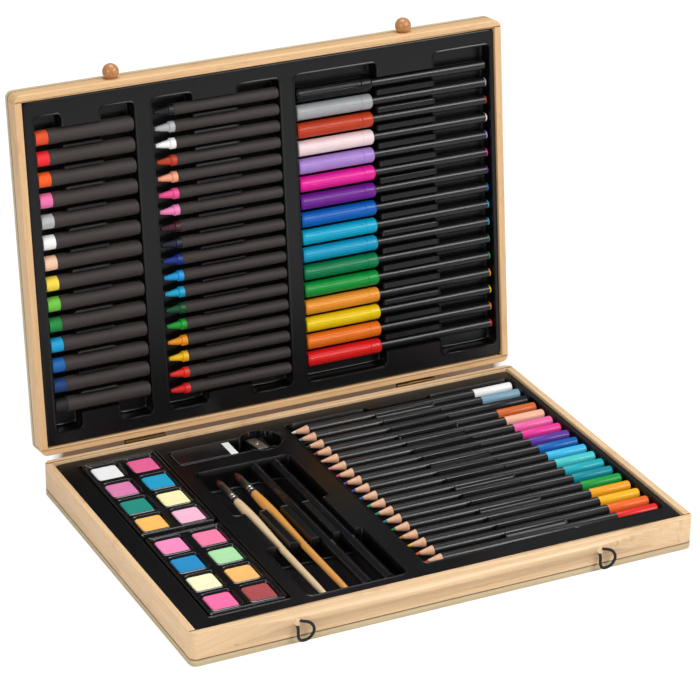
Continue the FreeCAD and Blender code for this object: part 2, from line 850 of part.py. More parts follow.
def sketch_pencils():
    """Two six-sided sketching pencils that lie on one flat in the right-hand brush slots."""
    half = size("sketch_flats") / 2
    side = half * (1 / math.sqrt(3))
    floor = size("brush_axis") + size("brush_slot_radius") - half
    for slot, name in ((2, "left"), (3, "right")):
        x = size("brush_first") + size("brush_pitch") * slot
        body = base_tool(f"{name}_sketch_pencil", x, size("sketch_back"), floor)
        section = new_sketch(body, "section", "XZ_Plane")
        upper = [(side * 2, 0), (side, half), (-side, half)]
        outline(section, upper + [(-x, -y) for x, y in upper])
        pad(body, "barrel", section, size("sketch_length"))


def palettes():
    """Two paint palettes, each a tray with a raised rim, its wells in two columns, and its paints."""
    wide, long, tall = size("palette_wide"), size("palette_long"), size("palette_tall")
    rim, step = size("palette_rim"), size("palette_rim_tall")
    pan_x, pan_y = size("pan_wide"), size("pan_long")
    columns = [wide / 2 - size("pan_spread") / 2 - pan_x / 2, wide / 2 + size("pan_spread") / 2 - pan_x / 2]
    first = long / 2 - size("pan_pitch") * (COUNTS["pan_rows"] - 1) / 2 - pan_y / 2
    rows = COUNTS["pan_rows"]
    for name, start in (("front", 0), ("rear", long + size("palette_apart"))):
        y = size("palette_front") + start
        body = base_tool(f"{name}_palette", size("palette_left"), y, size("palette_deep"))
        flat = new_sketch(body, "plan", "XY_Plane")
        rounded(flat, 0, wide, 0, long, size("palette_corner"))
        pad(body, "block", flat, tall)
        top = new_sketch(body, "top", "XY_Plane", tall)
        clipped(top, rim, wide - rim, rim, long - rim, size("palette_corner") - rim)
        pocket(body, "top_cut", top, step)
        for index, x in enumerate(columns):
            well = new_sketch(body, f"well_{index}", "XY_Plane", tall - step)
            outline(well, square(x, x + pan_x, first, first + pan_y))
            item = pocket(body, f"well_cut_{index}", well, size("pan_deep"))
            repeated(body, f"wells_{index}", [item], "Y_Axis", size("pan_pitch"), rows)
        body = base_tool(f"{name}_paints", size("palette_left"), y, size("palette_deep"))
        gap = size("paint_gap")
        floor = tall - step - size("pan_deep")
        for index, x in enumerate(columns):
            cake = new_sketch(body, f"cake_{index}", "XY_Plane", floor)
            outline(cake, square(x + gap, x + pan_x - gap, first + gap, first + pan_y - gap))
            item = pad(body, f"cake_pad_{index}", cake, size("paint_tall"))
            repeated(body, f"cakes_{index}", [item], "Y_Axis", size("pan_pitch"), rows)


def eraser():
    """A block eraser that stands out of its paper sleeve at the right."""
    long, wide, tall = size("eraser_long"), size("eraser_wide"), size("eraser_tall")
    thick = size("sleeve_thick")
    below = size("slot_deep")
    body = base_tool("eraser", size("eraser_left"), size("eraser_front"), below)
    end = new_sketch(body, "section", "YZ_Plane")
    outline(end, square(thick, wide - thick, thick, tall - thick))
    pad(body, "block", end, long)
    body = base_tool("eraser_sleeve", size("eraser_left"), size("eraser_front"), below)
    end = new_sketch(body, "section", "YZ_Plane")
    outline(end, square(0, wide, 0, tall))
    outline(end, square(thick, wide - thick, thick, tall - thick))
    pad(body, "sleeve", end, size("sleeve_long"))


def sharpener():
    """A wedge sharpener: a sloped block with a conical bore and a side window, a blade and its screw."""
    long, wide, tall, low = size("sharp_long"), size("sharp_wide"), size("sharp_tall"), size("sharp_low")
    x = size("round_x") - wide / 2
    y = size("round_y") - long / 2
    below = size("slot_deep")
    body = base_tool("sharpener_block", x, y, below)
    side = new_sketch(body, "side", "YZ_Plane")
    outline(side, [(0, 0), (long, 0), (long, low), (0, tall)])
    pad(body, "block", side, wide)
    height, tip = size("bore_height"), size("bore_tip")
    mouth, bore_end = size("bore_mouth"), size("bore_long")
    bored(body, "bore", "XZ_Plane", 0, long, tip, wide / 2, height)
    middle = Vector(wide.value / 2, 0, height.value)
    tapered(body, "bore_cone", "y", 0, bore_end, mouth - tip, (middle, mouth.value / 2))
    window = new_sketch(body, "window", "XY_Plane", tall)
    inset = tip * 2
    edge = wide / 2 + tip
    outline(window, square(edge, wide, inset, long - inset))
    pocket(body, "window_cut", window, tall - height - tip)
    # the blade and its screw lie square to the sloped top
    drop = tall - low
    reach = root(drop * drop + long * long)
    along = long * (1 / reach.value)
    down = drop * (1 / reach.value)
    begin = (reach - size("blade_long")) / 2
    left = (edge - size("blade_wide")) / 2
    centre = left + size("blade_wide") / 2
    middle = reach / 2
    shank, deep = size("blade_screw_shank"), size("blade_screw_deep")
    hole = new_sketch(body, "screw_hole", "YZ_Plane", centre)
    top_y, top_z = long / 2, (tall + low) / 2
    foot = (top_y - deep * down.value, top_z - deep * along.value)
    rim = (top_y - shank * along.value, top_z + shank * down.value)
    far = (foot[0] - shank * along.value, foot[1] + shank * down.value)
    outline(hole, [(top_y, top_z), foot, far, rim])
    drilled = feature(body, "Groove", "screw_bore", hole)
    drilled.ReferenceAxis = (hole, ["Edge1"])
    drilled.Angle = 360
    spot = base_place(x, y, tray_top() - below + tall)
    slope = math.degrees(math.atan2(-number(drop), number(long)))
    tilted = spot.multiply(Placement(Vector(0, 0, 0), Rotation(Vector(1, 0, 0), slope)))
    body = new_body("sharpener_blade", tilted)
    plate = new_sketch(body, "plate", "XY_Plane")
    right, finish = left + size("blade_wide"), begin + size("blade_long")
    outline(plate, square(left, right, begin, finish))
    circle(plate, centre, middle, shank)
    pad(body, "plate_pad", plate, size("blade_thick"))
    body = new_body("sharpener_screw", tilted)
    head = new_sketch(body, "head", "XY_Plane", size("blade_thick"))
    outline(head, ring(centre, middle, size("blade_screw")))
    pad(body, "head_pad", head, size("blade_screw_tall"))
    stem = new_sketch(body, "shank", "XY_Plane", -deep)
    circle(stem, centre, middle, shank)
    pad(body, "shank_pad", stem, deep + size("blade_thick"))


# Hinges, beads and loops


def hinge_leaf(body, stop):
    """A leaf on the outside of a back wall, with its share of the knuckles, bored for the pin.

    The origin is on the rim plane at the wall's outer face: y points out of the case, and z up to
    the rim. The stop is an ear on the lid's leaf that comes to rest on the base's leaf.
    """
    half = size("leaf_wide") / 2
    thick, tall = size("leaf_thick"), size("leaf_tall")
    radius = size("knuckle_radius")
    out = radius + size("knuckle_gap")
    clear = out + size("knuckle_gap")
    ear = size("lid_knuckle") / 2
    play = size("side_play")
    for hinge, x in enumerate(hinge_centres()):
        plate = new_sketch(body, f"plate_{hinge}", "XZ_Plane")
        outline(plate, square(x - half, x + half, -tall, -clear))
        pad(body, f"plate_pad_{hinge}", plate, thick, backwards=True)
        if stop:
            spans = [(x - ear, x + ear)]
        else:
            spans = [(x - half, x - ear - play), (x + ear + play, x + half)]
        for part, (start, finish) in enumerate(spans):
            tag = f"{hinge}_{part}"
            web = new_sketch(body, f"web_{tag}", "YZ_Plane", start)
            outline(web, square(0, thick, -(clear + thick), 0))
            pad(body, f"web_pad_{tag}", web, finish - start)
            stick(body, f"knuckle_{tag}", "YZ_Plane", start, finish, radius, out)
            if stop:
                stop_ear(body, tag, start, finish)
    start = size("hinge_inset") - half - size("overrun")
    loose = size("pin_radius") + size("pin_play")
    bored(body, "bore", "YZ_Plane", start, start + size("case_width"), loose, out)
    holes = new_sketch(body, "screw_holes", "XZ_Plane")
    for x in screw_places():
        outline(holes, ring(x, -size("screw_drop"), size("shank_radius")))
    pocket(body, "screw_hole_cut", holes, thick)


def stop_ear(body, tag, start, finish):
    """The stop ear: its face lies along the base leaf when the lid is open at its full angle."""
    angle = math.radians(number(size("lid_angle")))
    thick = size("leaf_thick")
    out = size("knuckle_radius") + size("knuckle_gap")
    reach = size("stop_reach")
    # at the full angle the ear's point (y, z) lies out + (y - out) cos(angle) - z sin(angle) behind
    # the case's back face, and that is the leaf's thickness and the play all along the ear's face
    lean = -math.cos(angle)
    rise = 1 / math.sin(angle)
    gap = out * (1 + lean) - thick - size("stop_play")
    near = out + size("knuckle_radius")
    z_near = (gap - near * lean) * rise
    z_far = (gap - reach * lean) * rise
    ear = new_sketch(body, f"ear_{tag}", "YZ_Plane", start)
    points = [(thick / 2, -(out + thick)), (near, z_near), (reach, z_far), (reach, z_far - thick)]
    points += [(thick / 2, -(size("leaf_tall") - thick))]
    outline(ear, points)
    pad(body, f"ear_pad_{tag}", ear, finish - start)


def hinges():
    """Two stop hinges: base leaves, lid leaves, pins and screws."""
    back = size("case_depth")
    rim = base_place(0, back, size("base_height"))
    hinge_leaf(new_body("base_hinge_leaves", rim), stop=False)
    hinge_leaf(new_body("lid_hinge_leaves", lid_leaf_place()), stop=True)
    body = new_body("hinge_pins", rim)
    out = size("knuckle_radius") + size("knuckle_gap")
    half = size("leaf_wide") / 2
    for index, x in enumerate(hinge_centres()):
        stick(body, f"shaft_{index}", "YZ_Plane", x - half, x + half, size("pin_radius"), out)
    thick, shank, head = size("leaf_thick"), size("shank_radius"), size("head_radius")
    for prefix, place in (("base", rim), ("lid", lid_leaf_place())):
        body = new_body(f"{prefix}_hinge_screws", place)
        for index, x in enumerate(screw_places()):
            spot = (x, -size("screw_drop"))
            stick(body, f"shank_{index}", "XZ_Plane", -shank_in_wood(), thick, shank, *spot)
            stick(body, f"head_{index}", "XZ_Plane", thick, thick + size("head_tall"), head, *spot)


def lid_leaf_place():
    """The lid's place for its hinge leaves: y points out of the hinge face, z towards the rim."""
    half_turn = Placement(Vector(0, 0, 0), Rotation(Vector(0, 0, 1), 180))
    return lid_place(size("case_width"), 0, 0).multiply(half_turn)


def beads():
    """Two turned wooden beads, each flat against the lid's front face, with a peg glued into it."""
    place = lid_place(0, size("case_depth"), -size("bead_drop"))
    body = new_body("closing_beads", place)
    radius, stand, peg = size("bead_radius"), size("bead_stand"), size("peg_radius")
    ball = [(0, root(radius * radius - stand * stand))]
    for degrees in BEAD_TURNS:
        turn = math.radians(degrees)
        ball.append((stand + radius * math.sin(turn), radius * math.cos(turn)))
    for index, x in enumerate((size("bead_inset"), size("case_width") - size("bead_inset"))):
        lofted(body, f"ball_{index}", "XZ_Plane", ball, x)
        stick(body, f"peg_{index}", "XZ_Plane", -size("peg_length"), 0, peg, x)


def cord_path(points):
    """Straight runs joined by tangent arcs, each as large as its two runs allow, and their radii."""
    edges = []
    radii = []
    last = points[0]
    for before, corner, after in zip(points, points[1:], points[2:]):
        back = before - corner
        ahead = after - corner
        turn = math.pi - back.getAngle(ahead)
        set_back = 0.45 * min(back.Length, ahead.Length)
        radius = set_back / math.tan(turn / 2)
        start = corner + back.normalize() * set_back
        finish = corner + ahead.normalize() * set_back
        inward = (back + ahead).normalize()
        centre = corner + inward * (radius / math.cos(turn / 2))
        middle = centre - inward * radius
        edges.append(Part.LineSegment(last, start).toShape())
        edges.append(Part.Arc(start, middle, finish).toShape())
        radii.append(round(radius, 2))
        last = finish
    edges.append(Part.LineSegment(last, points[-1]).toShape())
    return edges, radii


def cord_tube(edges, section):
    """The cord's solid: its section is drawn along each run and turned about each arc's centre."""
    parts = []
    for edge in edges:
        if isinstance(edge.Curve, Part.Line):
            way = edge.valueAt(edge.LastParameter) - edge.valueAt(edge.FirstParameter)
            parts.append(section.extrude(way))
            section = section.translated(way)
        else:
            centre, axis = edge.Curve.Center, edge.Curve.Axis
            angle = math.degrees(edge.LastParameter - edge.FirstParameter)
            parts.append(section.revolve(centre, axis, angle))
            section = section.rotated(centre, axis, angle)
    return parts[0].fuse(parts[1:])


def cord_ring(radius):
    """The corners of the cord's section."""
    reach = radius / math.cos(math.pi / CORD_FLATS)
    turns = [math.pi * (2 * i + 1) / CORD_FLATS for i in range(CORD_FLATS)]
    return [(reach * math.cos(a), reach * math.sin(a)) for a in turns]


def elastic_loops():
    """The two elastic loops: both strands leave one hole in the front wall, and a knot holds them."""
    wall, radius = size("wall"), size("cord_radius")
    height, offset = size("loop_height"), size("strand_offset")
    insets = (("left", size("bead_inset")), ("right", size("case_width") - size("bead_inset")))
    for side, x in insets:
        points = [Vector(0, wall.value, offset.value)]
        points += [Vector(*spot) for spot in LOOP_ROUTE]
        points.append(Vector(0, wall.value, -offset.value))
        edges, radii = cord_path(points)
        corners = [points[0] + Vector(a, 0, b) for a, b in cord_ring(radius.value)]
        section = Part.Face(Part.makePolygon(corners + corners[:1]))
        tube = cord_tube(edges, section)
        loop = DOC.addObject("Part::Feature", f"{side}_elastic_loop")
        loop.Label = f"{side}_elastic_loop"
        loop.Shape = tube
        loop.Placement = base_place(x, 0, height)
        NODES.append(loop)
        length = sum(edge.Length for edge in edges)
        print(side, "loop: length", round(length, 2), "radii", radii)
        print("volume", round(tube.Volume, 2), "section by length", round(section.Area * length, 2))
    body = new_body("loop_knots", base_place(0, wall, height))
    for index, (side, x) in enumerate(insets):
        stick(body, f"knot_{index}", "XZ_Plane", 0, size("knot_length"), size("knot_radius"), x)


half_case("base", base_place(0, 0, 0), size("base_height"), base_holes)
half_case("lid", lid_place(0, 0, -size("lid_height")), size("lid_height"), lid_holes)
base_tray()
lid_tray()
palettes()
eraser()
sharpener()
sketch_pencils()
brush("left", 0, size("small_brush_length"), size("small_ferrule"), size("small_tuft"))
brush("right", 1, size("large_brush_length"), size("large_ferrule"), size("large_tuft"))
pencils()
pastels()
crayons()
pens()
hinges()
beads()
elastic_loops()
DOC.recompute()

faults = [item.Name for item in DOC.Objects if "Invalid" in item.State or "Error" in item.State]
for node in NODES:
    if node.Shape.isNull() or not node.Shape.isValid() or not node.Shape.Solids:
        faults.append(node.Label)
if faults:
    raise RuntimeError(f"these did not build: {faults}")
os.makedirs("parts", exist_ok=True)
for node in NODES:
    node.Shape.exportStep(f"parts/{node.Label}.step")
print(len(NODES), "nodes")
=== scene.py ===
"""The looks of an open art set: boards, formed trays and the tools that lie in them."""

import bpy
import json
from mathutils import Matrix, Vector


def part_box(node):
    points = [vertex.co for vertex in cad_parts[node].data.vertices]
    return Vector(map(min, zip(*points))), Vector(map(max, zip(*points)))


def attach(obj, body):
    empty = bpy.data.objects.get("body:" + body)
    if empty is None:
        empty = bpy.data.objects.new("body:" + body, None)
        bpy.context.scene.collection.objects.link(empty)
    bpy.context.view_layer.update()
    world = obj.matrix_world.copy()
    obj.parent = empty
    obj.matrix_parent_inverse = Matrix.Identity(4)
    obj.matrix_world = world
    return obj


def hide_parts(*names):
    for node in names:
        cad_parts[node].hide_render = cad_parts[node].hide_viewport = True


bl_info = {
    "name": "Hinged art set",
    "version": (1, 0, 0),
    "blender": (4, 5, 0),
    "location": "3D View > Sidebar > Art Set",
    "description": "Builds the pieces of an open art set on its packed frame",
    "category": "Mesh",
}

import json
import math

import bpy
import numpy as np
from bpy.props import FloatProperty, FloatVectorProperty, IntProperty, PointerProperty
from mathutils import Matrix

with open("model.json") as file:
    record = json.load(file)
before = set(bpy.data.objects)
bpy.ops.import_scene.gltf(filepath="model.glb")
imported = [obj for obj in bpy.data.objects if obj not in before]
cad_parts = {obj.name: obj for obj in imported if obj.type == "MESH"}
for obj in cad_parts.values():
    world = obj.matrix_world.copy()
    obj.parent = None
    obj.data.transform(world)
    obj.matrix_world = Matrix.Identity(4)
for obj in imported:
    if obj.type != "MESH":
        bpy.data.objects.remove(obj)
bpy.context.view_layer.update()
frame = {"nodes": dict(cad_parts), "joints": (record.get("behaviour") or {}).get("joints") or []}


# Sizes and colours


def length(name, millimetres, description):
    """A length property, given in millimetres and held in metres."""
    return FloatProperty(name=name, description=description, default=millimetres / 1000,
                         unit="LENGTH", precision=5)


def linear(code):
    """The linear colour of a six-figure colour code, with full alpha."""
    parts = np.array([int(code[i:i + 2], 16) for i in (0, 2, 4)]) / 255
    parts = np.where(parts <= 0.04045, parts / 12.92, ((parts + 0.055) / 1.055) ** 2.4)
    return (*(float(part) for part in parts), 1.0)


def colour(name, code, description):
    """A colour property, given as a six-figure code."""
    return FloatVectorProperty(name=name, description=description, default=linear(code), size=4,
                               subtype="COLOR", min=0, max=1)


def metres(*values):
    """Millimetres in metres."""
    return tuple(value / 1000 for value in values)


class CaseSizes(bpy.types.PropertyGroup):
    """The wooden case."""

    wall: length("Wall", 5.0, "Thickness of the four boards of each half")
    panel: length("Panel", 5.0, "Thickness of the bottom and top panels")
    base_tall: length("Base height", 24.0, "Height of the base with its panel")
    lid_tall: length("Lid height", 18.0, "Height of the lid with its panel")
    corner: length("Corner", 4.8, "Radius of the upright outer corners")
    edge: length("Edge", 0.5, "How far the boards' long edges are eased")
    seam: length("Seam", 0.12, "How far the panel stands back at the glued joint")
    bead: length("Bead", 5.6, "Radius of a closing bead")
    bead_stand: length("Bead stand", 4.4, "How far a bead's middle stands out from the board")
    bead_inset: length("Bead inset", 72.0, "From the left or right face to a bead or loop")
    bead_drop: length("Bead drop", 9.0, "From the lid's rim down to the beads")
    cord: length("Cord", 2.0, "Diameter of the elastic cord")
    hole: length("Hole", 2.4, "Radius of the holes for the elastic loops")
    knot: length("Knot", 2.5, "Radius of a loop's knot")
    knot_long: length("Knot length", 4.5, "Length of a loop's knot along the hole")
    loop_height: length("Loop height", 16.0, "Height of the loops' holes")


class TraySizes(bpy.types.PropertyGroup):
    """The two formed trays."""

    drop: length("Drop", 1.5, "From a half's rim down to its tray")
    gap: length("Gap", 0.7, "Between a tray and the boards")
    corner: length("Corner", 4.0, "Radius of a tray's own corners and of its wells")
    lip: length("Lip", 0.5, "How far the lip round a well stands up")
    lip_wide: length("Lip width", 0.95, "Width of the lip round a well")
    draft: length("Draft", 2.2, "How far a well's wall leans in down to its floor")
    groove_gap: length("Groove gap", 0.3, "Between a tool and the sides of its groove")
    step: length("Step", 0.62, "Step of a tray's mesh across its grooves, before its multiple")


class ToolSizes(bpy.types.PropertyGroup):
    """Pencils, crayons, pastels, pens and brushes."""

    pencil: length("Pencil", 3.6, "Radius of a coloured pencil")
    pencil_cone: length("Pencil cone", 13.0, "Length of a sharpened point")
    pencil_lead: length("Pencil lead", 3.6, "Bare length of the lead")
    pencil_dip: length("Pencil dip", 31.0, "Length of the dipped end")
    pastel: length("Pastel", 5.4, "Radius of an oil pastel in its wrap")
    pastel_bare: length("Pastel end", 9.0, "Bare length of an oil pastel")
    crayon: length("Crayon", 4.1, "Radius of a wax crayon in its wrap")
    crayon_cone: length("Crayon cone", 10.5, "Length of a crayon's cone")
    pen: length("Pen", 3.5, "Radius of a felt pen's barrel")
    cap: length("Cap", 5.4, "Radius of a felt pen's cap")
    cap_length: length("Cap length", 58.0, "Length of a felt pen's cap")
    cap_smooth: length("Smooth cap end", 10.5, "Length of a cap beyond its flutes")
    cap_ring: length("Cap ring", 8.8, "From a cap's open end to the ring round it")
    pen_end: length("Pen end", 1.6, "Length of the coloured plug in a barrel's end")
    flute: length("Flute", 0.14, "Depth of the flutes on a cap")
    flutes: IntProperty(name="Flutes", description="How many flutes a cap has", default=22, min=3)


class CaseColours(bpy.types.PropertyGroup):
    """Colours of the case and the trays."""

    wood: colour("Wood", "eac08c", "Lacquered wood of the lid's boards")
    # The base's boards get a paler copy of the lid's wood: painted light, for the brighter light on the
    # base
    pale_wood: colour("Pale wood", "f0cc9f", "Lacquered wood of the base's boards")
    grain: colour("Grain", "bb7f4e", "Darker lines and stains in the wood")
    panel: colour("Panel", "d2c29a", "Plywood of the panels")
    tray: colour("Tray", "070708", "Semi-matt black sheet of the trays")
    bead: colour("Bead", "c08552", "Stained wood of the beads")
    cord: colour("Cord", "151516", "Woven elastic")


class ToolColours(bpy.types.PropertyGroup):
    """Colours of the tools that don't differ from stick to stick."""

    lacquer: colour("Lacquer", "151516", "Black lacquer of the pencils")
    bare_wood: colour("Bare wood", "e6b08c", "Wood of the sharpened cones")
    wrap: colour("Wrap", "332b29", "Paper round the pastels and crayons")
    barrel: colour("Barrel", "0b0b0c", "Black plastic of the felt pens")
    palette: colour("Palette", "0a0a0b", "Black plastic of the palettes and the sharpener")
    natural: colour("Natural handle", "e8cba0", "Clear lacquered brush handle")
    orange: colour("Orange handle", "e2a050", "Orange lacquered brush handle")
    hair: colour("Hair", "6b3524", "Red-brown brush hair")
    metal: colour("Metal", "b9b5ae", "Ferrules, and the sharpener's blade and screw")
    brass: colour("Brass", "46331e", "Aged brass of the hinges")
    eraser: colour("Eraser", "f0efec", "White eraser")
    sleeve: colour("Sleeve", "0e0e0f", "Coated paper sleeve of the eraser")


# Colours of the sticks, from the lowest of a row in the lid to the highest, and of the pencils from
# the back to the front
PASTEL_CODES = [
    "161312", "083672", "0a62b0", "08a0d4", "0a8a3a", "6ec440", "f8dc48",
    "f8c8a8", "f8f8f6", "b8b8b8", "f272ac", "f85c0c", "f0202a", "e84c20",
]
CRAYON_CODES = [
    "de1a20", "e82c1a", "f2bc12", "f09414", "0a9a32", "064c26", "08a4cc", "0a96da", "0a2a80",
    "10142a", "3e0c20", "f286bc", "f04e94", "f8a484", "b63618", "f8f8f6", "b4b4b6", "101012",
]
PEN_CODES = [
    "e81c1c", "f47818", "f4d008", "f89c2c", "04983a", "06804e", "06a0c8", "06acd0",
    "0462be", "701e94", "ec1c9c", "ae88d4", "fadfe1", "c23c1a", "a6a8aa", "050506",
]
PENCIL_END_CODES = [
    "f8f8f6", "80a4b8", "1c1c1e", "d0662f", "f2b89c", "f068a8", "ea3898", "5a389a", "0a62b2",
    "3cb8e4", "48c8ca", "1caab8", "0a8c9a", "189a3a", "f2a41a", "f8b81e", "f26a28", "e22824",
]
PENCIL_LEAD_CODES = [
    "f4f0ea", "8a8a88", "2a2a2a", "7a3a24", "e8b79a", "e88aa0", "c8407a", "6a4a9a", "3c4a9a",
    "2a6aa0", "3a9a5a", "2a8a70", "1f7f80", "2f7a3a", "b8863a", "e8c83a", "d8602a", "c0302a",
]

# Paints of a palette: its left column from front to back, and then the right one
PAINT_CODES = {
    "front": ["f46ca4", "f8f2c8", "048ac4", "f48cbe", "a84448", "f8bc6c", "ace0a8", "f47ca6"],
    "rear": ["f8be60", "008c7c", "e482b6", "fcfcfc", "f8bad2", "f8f2b8", "06a4ce", "f4689e"],
}

# A palette's pans in millimetres: between the columns' middles, between the rows', width and length
PAN = {"spread": 26.4, "pitch": 26.0, "wide": 20.4, "long": 21.2}

# Where the rows of tools lie, in millimetres: first axis, pitch, count, tool radius, depth of the
# axis, and the two wells and the bridge between them along the tools
ROWS = {
    "pencil": (27.4, 11.88, 18, 3.6, 3.3, (172.9, 238.0, 284.0, 351.6)),
    "pastel": (32.6, 14.57, 14, 5.4, 4.7, (12.8, 32.0, 60.0, 84.2)),
    "crayon": (27.0, 11.76, 18, 4.1, 3.6, (96.6, 126.4, 159.4, 190.8)),
    "pen": (29.7, 12.85, 16, 3.5, 4.5, (202.2, 264.6, 309.0, 353.2)),
    "brush": (100.3, 15.35, 4, 4.2, 3.6, (14.6, 81.0, 130.0, 195.6)),
}
STICK_STARTS = {"pencil": 174.6, "pastel": 13.4, "crayon": 99.0, "pen": 203.4, "brush": 19.0}
STICK_LENGTHS = {"pencil": 175.0, "pastel": 70.0, "crayon": 91.0, "pen": 148.0}
LID_WELL_ENDS = (14.6, 237.4)
PENCIL_WELL_ENDS = (21.0, 235.76)
BRUSH_WELL_SIDES = (87.0, 157.0)
PALETTE_RECESS = (19.8, 76.2, 17.4, 239.6)
ERASER_SLOT = (83.3, 137.0, 211.3, 231.7)
ROUND_SEAT = (148.6, 222.5, 14.2)
WELL_DEPTHS = {"base": 16.5, "lid": 10.5, "recess": 9.0, "slot": 11.0}

# A brush: its handle's colour, its length, ferrule and tuft in millimetres, and the handle's
# outline as shares of the bare handle's length and of its belly's radius
BRUSHES = {"left": ("natural", 169.0, 24.0, 9.0), "right": ("orange", 174.0, 20.5, 12.0)}
HANDLE_SHARES = [(0, 0.5), (0.05, 0.62), (0.45, 0.68), (0.64, 0.86), (0.76, 1.0), (0.86, 1.0),
                  (0.95, 0.9), (1, 0.762)]
BRUSH_BELLY = 3.5
BRUSH_AXIS = 4.3

# The elastic loop's route in millimetres: beside its hole, inwards from the board's front face,
# and above the hole
LOOP_ROUTE = [
    (0, 5, 1.05), (0, -2.3, 1.05), (7.6, -3.7, -0.2), (11.0, -4.1, -6.6), (6.4, -4.2, -12.6),
    (-1.2, -3.8, -12.6), (0, -2.3, -1.05), (0, 5, -1.05),
]

# The camera: its place in metres, the turn and tilt of its back in degrees, its roll in radians,
# its lens in millimetres and its shift
CAMERA = {"place": (-0.8237, -1.6434, 1.0052), "turn": -25.85, "tilt": 25.73, "roll": 0.00756,
          "lens": 159.5, "shift": (0.0317, 0.0141)}


# Places in the two halves


class Half:
    """One half of the case with its own axes.

    x runs from its left face, y from its front or hinge edge, and z up from the base's bottom or the
    lid's rim.
    """

    def __init__(self, origin, y_way, z_way, tray):
        self.origin = np.array(origin, float)
        self.ways = np.array([(1, 0, 0), y_way, z_way], float)
        self.tray = tray
        low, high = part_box("base_panel")
        self.wide, self.deep = high.x - low.x, high.y - low.y

    def place(self, x, y, z):
        """Points of the half: its origin plus each coordinate along its own way."""
        own = np.stack(np.broadcast_arrays(x, y, z), axis=-1).astype(float)
        return self.origin + own @ self.ways

    def put(self, points):
        """Points held in one array, with the three coordinates last."""
        return self.place(*np.moveaxis(points, -1, 0))

    def ranges(self, node):
        """A base node's ranges along x, y and z in the half's own places."""
        return [(low - start, high - start) for low, high, start in zip(*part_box(node), self.origin)]


def halves():
    """The base and the lid, from the panel's size and the lid hinge of the frame."""
    low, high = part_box("base_panel")
    hinge = next(joint for joint in frame["joints"] if joint["name"] == "lid_hinge")
    angle = math.radians(abs(hinge["range_deg"][0]))
    _, axis_y, rim = hinge["pos_m"]
    offset = axis_y - high.y
    cosine, sine = math.cos(angle), math.sin(angle)
    drop = bpy.context.scene.art_tray.drop
    base = Half((low.x, low.y, 0), (0, 1, 0), (0, 0, 1), rim - drop)
    hinge_edge = (low.x, high.y + offset * (1 - cosine), rim + offset * sine)
    lid = Half(hinge_edge, (0, -cosine, sine), (0, -sine, -cosine), -drop)
    return base, lid


# Mesh shells


class Shell:
    """Points, quads and triangles, with a zone for each face, a tint and own place for each point."""

    def __init__(self, points, quads, triangles, quad_zones, triangle_zones, tints=None, own=None):
        self.points = points
        self.quads = quads
        self.triangles = triangles
        self.quad_zones = quad_zones
        self.triangle_zones = triangle_zones
        self.tints = np.ones((len(points), 4)) if tints is None else tints
        self.own = points if own is None else own

    def turned_out(self):
        """The same shell with its faces pointing out, which makes its signed volume positive."""
        corners = np.concatenate([self.quads[:, :3], self.quads[:, [0, 2, 3]], self.triangles])
        a, b, c = (self.points[corners[:, i]] - self.points.mean(0) for i in range(3))
        if np.einsum("ij,ij->i", a, np.cross(b, c)).sum() < 0:
            self.quads = self.quads[:, ::-1]
            self.triangles = self.triangles[:, ::-1]
        return self


def skin(rings, own=None, zones=None, tints=None, closed_way=False):
    """A closed shell over rings of points, ring after ring, with a point at each end's middle.

    rings has the shape (rings, points of a ring, 3). With closed_way the last ring joins the first
    one instead, as in a tube with an inside.
    """
    count, around = rings.shape[:2]
    steps = count if closed_way else count - 1
    i = np.repeat(np.arange(steps), around)
    j = np.tile(np.arange(around), steps)
    after, beside = (i + 1) % count, (j + 1) % around
    quads = np.stack([i * around + j, i * around + beside, after * around + beside,
                      after * around + j], 1)
    zones = np.zeros(steps, int) if zones is None else np.asarray(zones)
    quad_zones = zones[i]
    own = rings if own is None else own
    points = rings.reshape(-1, 3)
    places = own.reshape(-1, 3)
    colours = None if tints is None else np.repeat(np.asarray(tints), around, axis=0)
    triangles = np.zeros((0, 3), int)
    triangle_zones = np.zeros(0, int)
    if not closed_way:
        points = np.concatenate([points, rings[:1].mean(1), rings[-1:].mean(1)])
        places = np.concatenate([places, own[:1].mean(1), own[-1:].mean(1)])
        if colours is not None:
            colours = np.concatenate([colours, colours[:1], colours[-1:]])
        low = np.arange(around)
        beyond, last = (low + 1) % around, (count - 1) * around
        start = np.stack([np.full(around, count * around), beyond, low], 1)
        finish = np.stack([np.full(around, count * around + 1), low + last, beyond + last], 1)
        triangles = np.concatenate([start, finish])
        triangle_zones = np.repeat([zones[0], zones[-1]], around)
    return Shell(points, quads, triangles, quad_zones, triangle_zones, colours, places).turned_out()


def linked(name, data):
    """A new object of that data, put in the scene."""
    made = bpy.data.objects.new(name, data)
    bpy.context.scene.collection.objects.link(made)
    return made


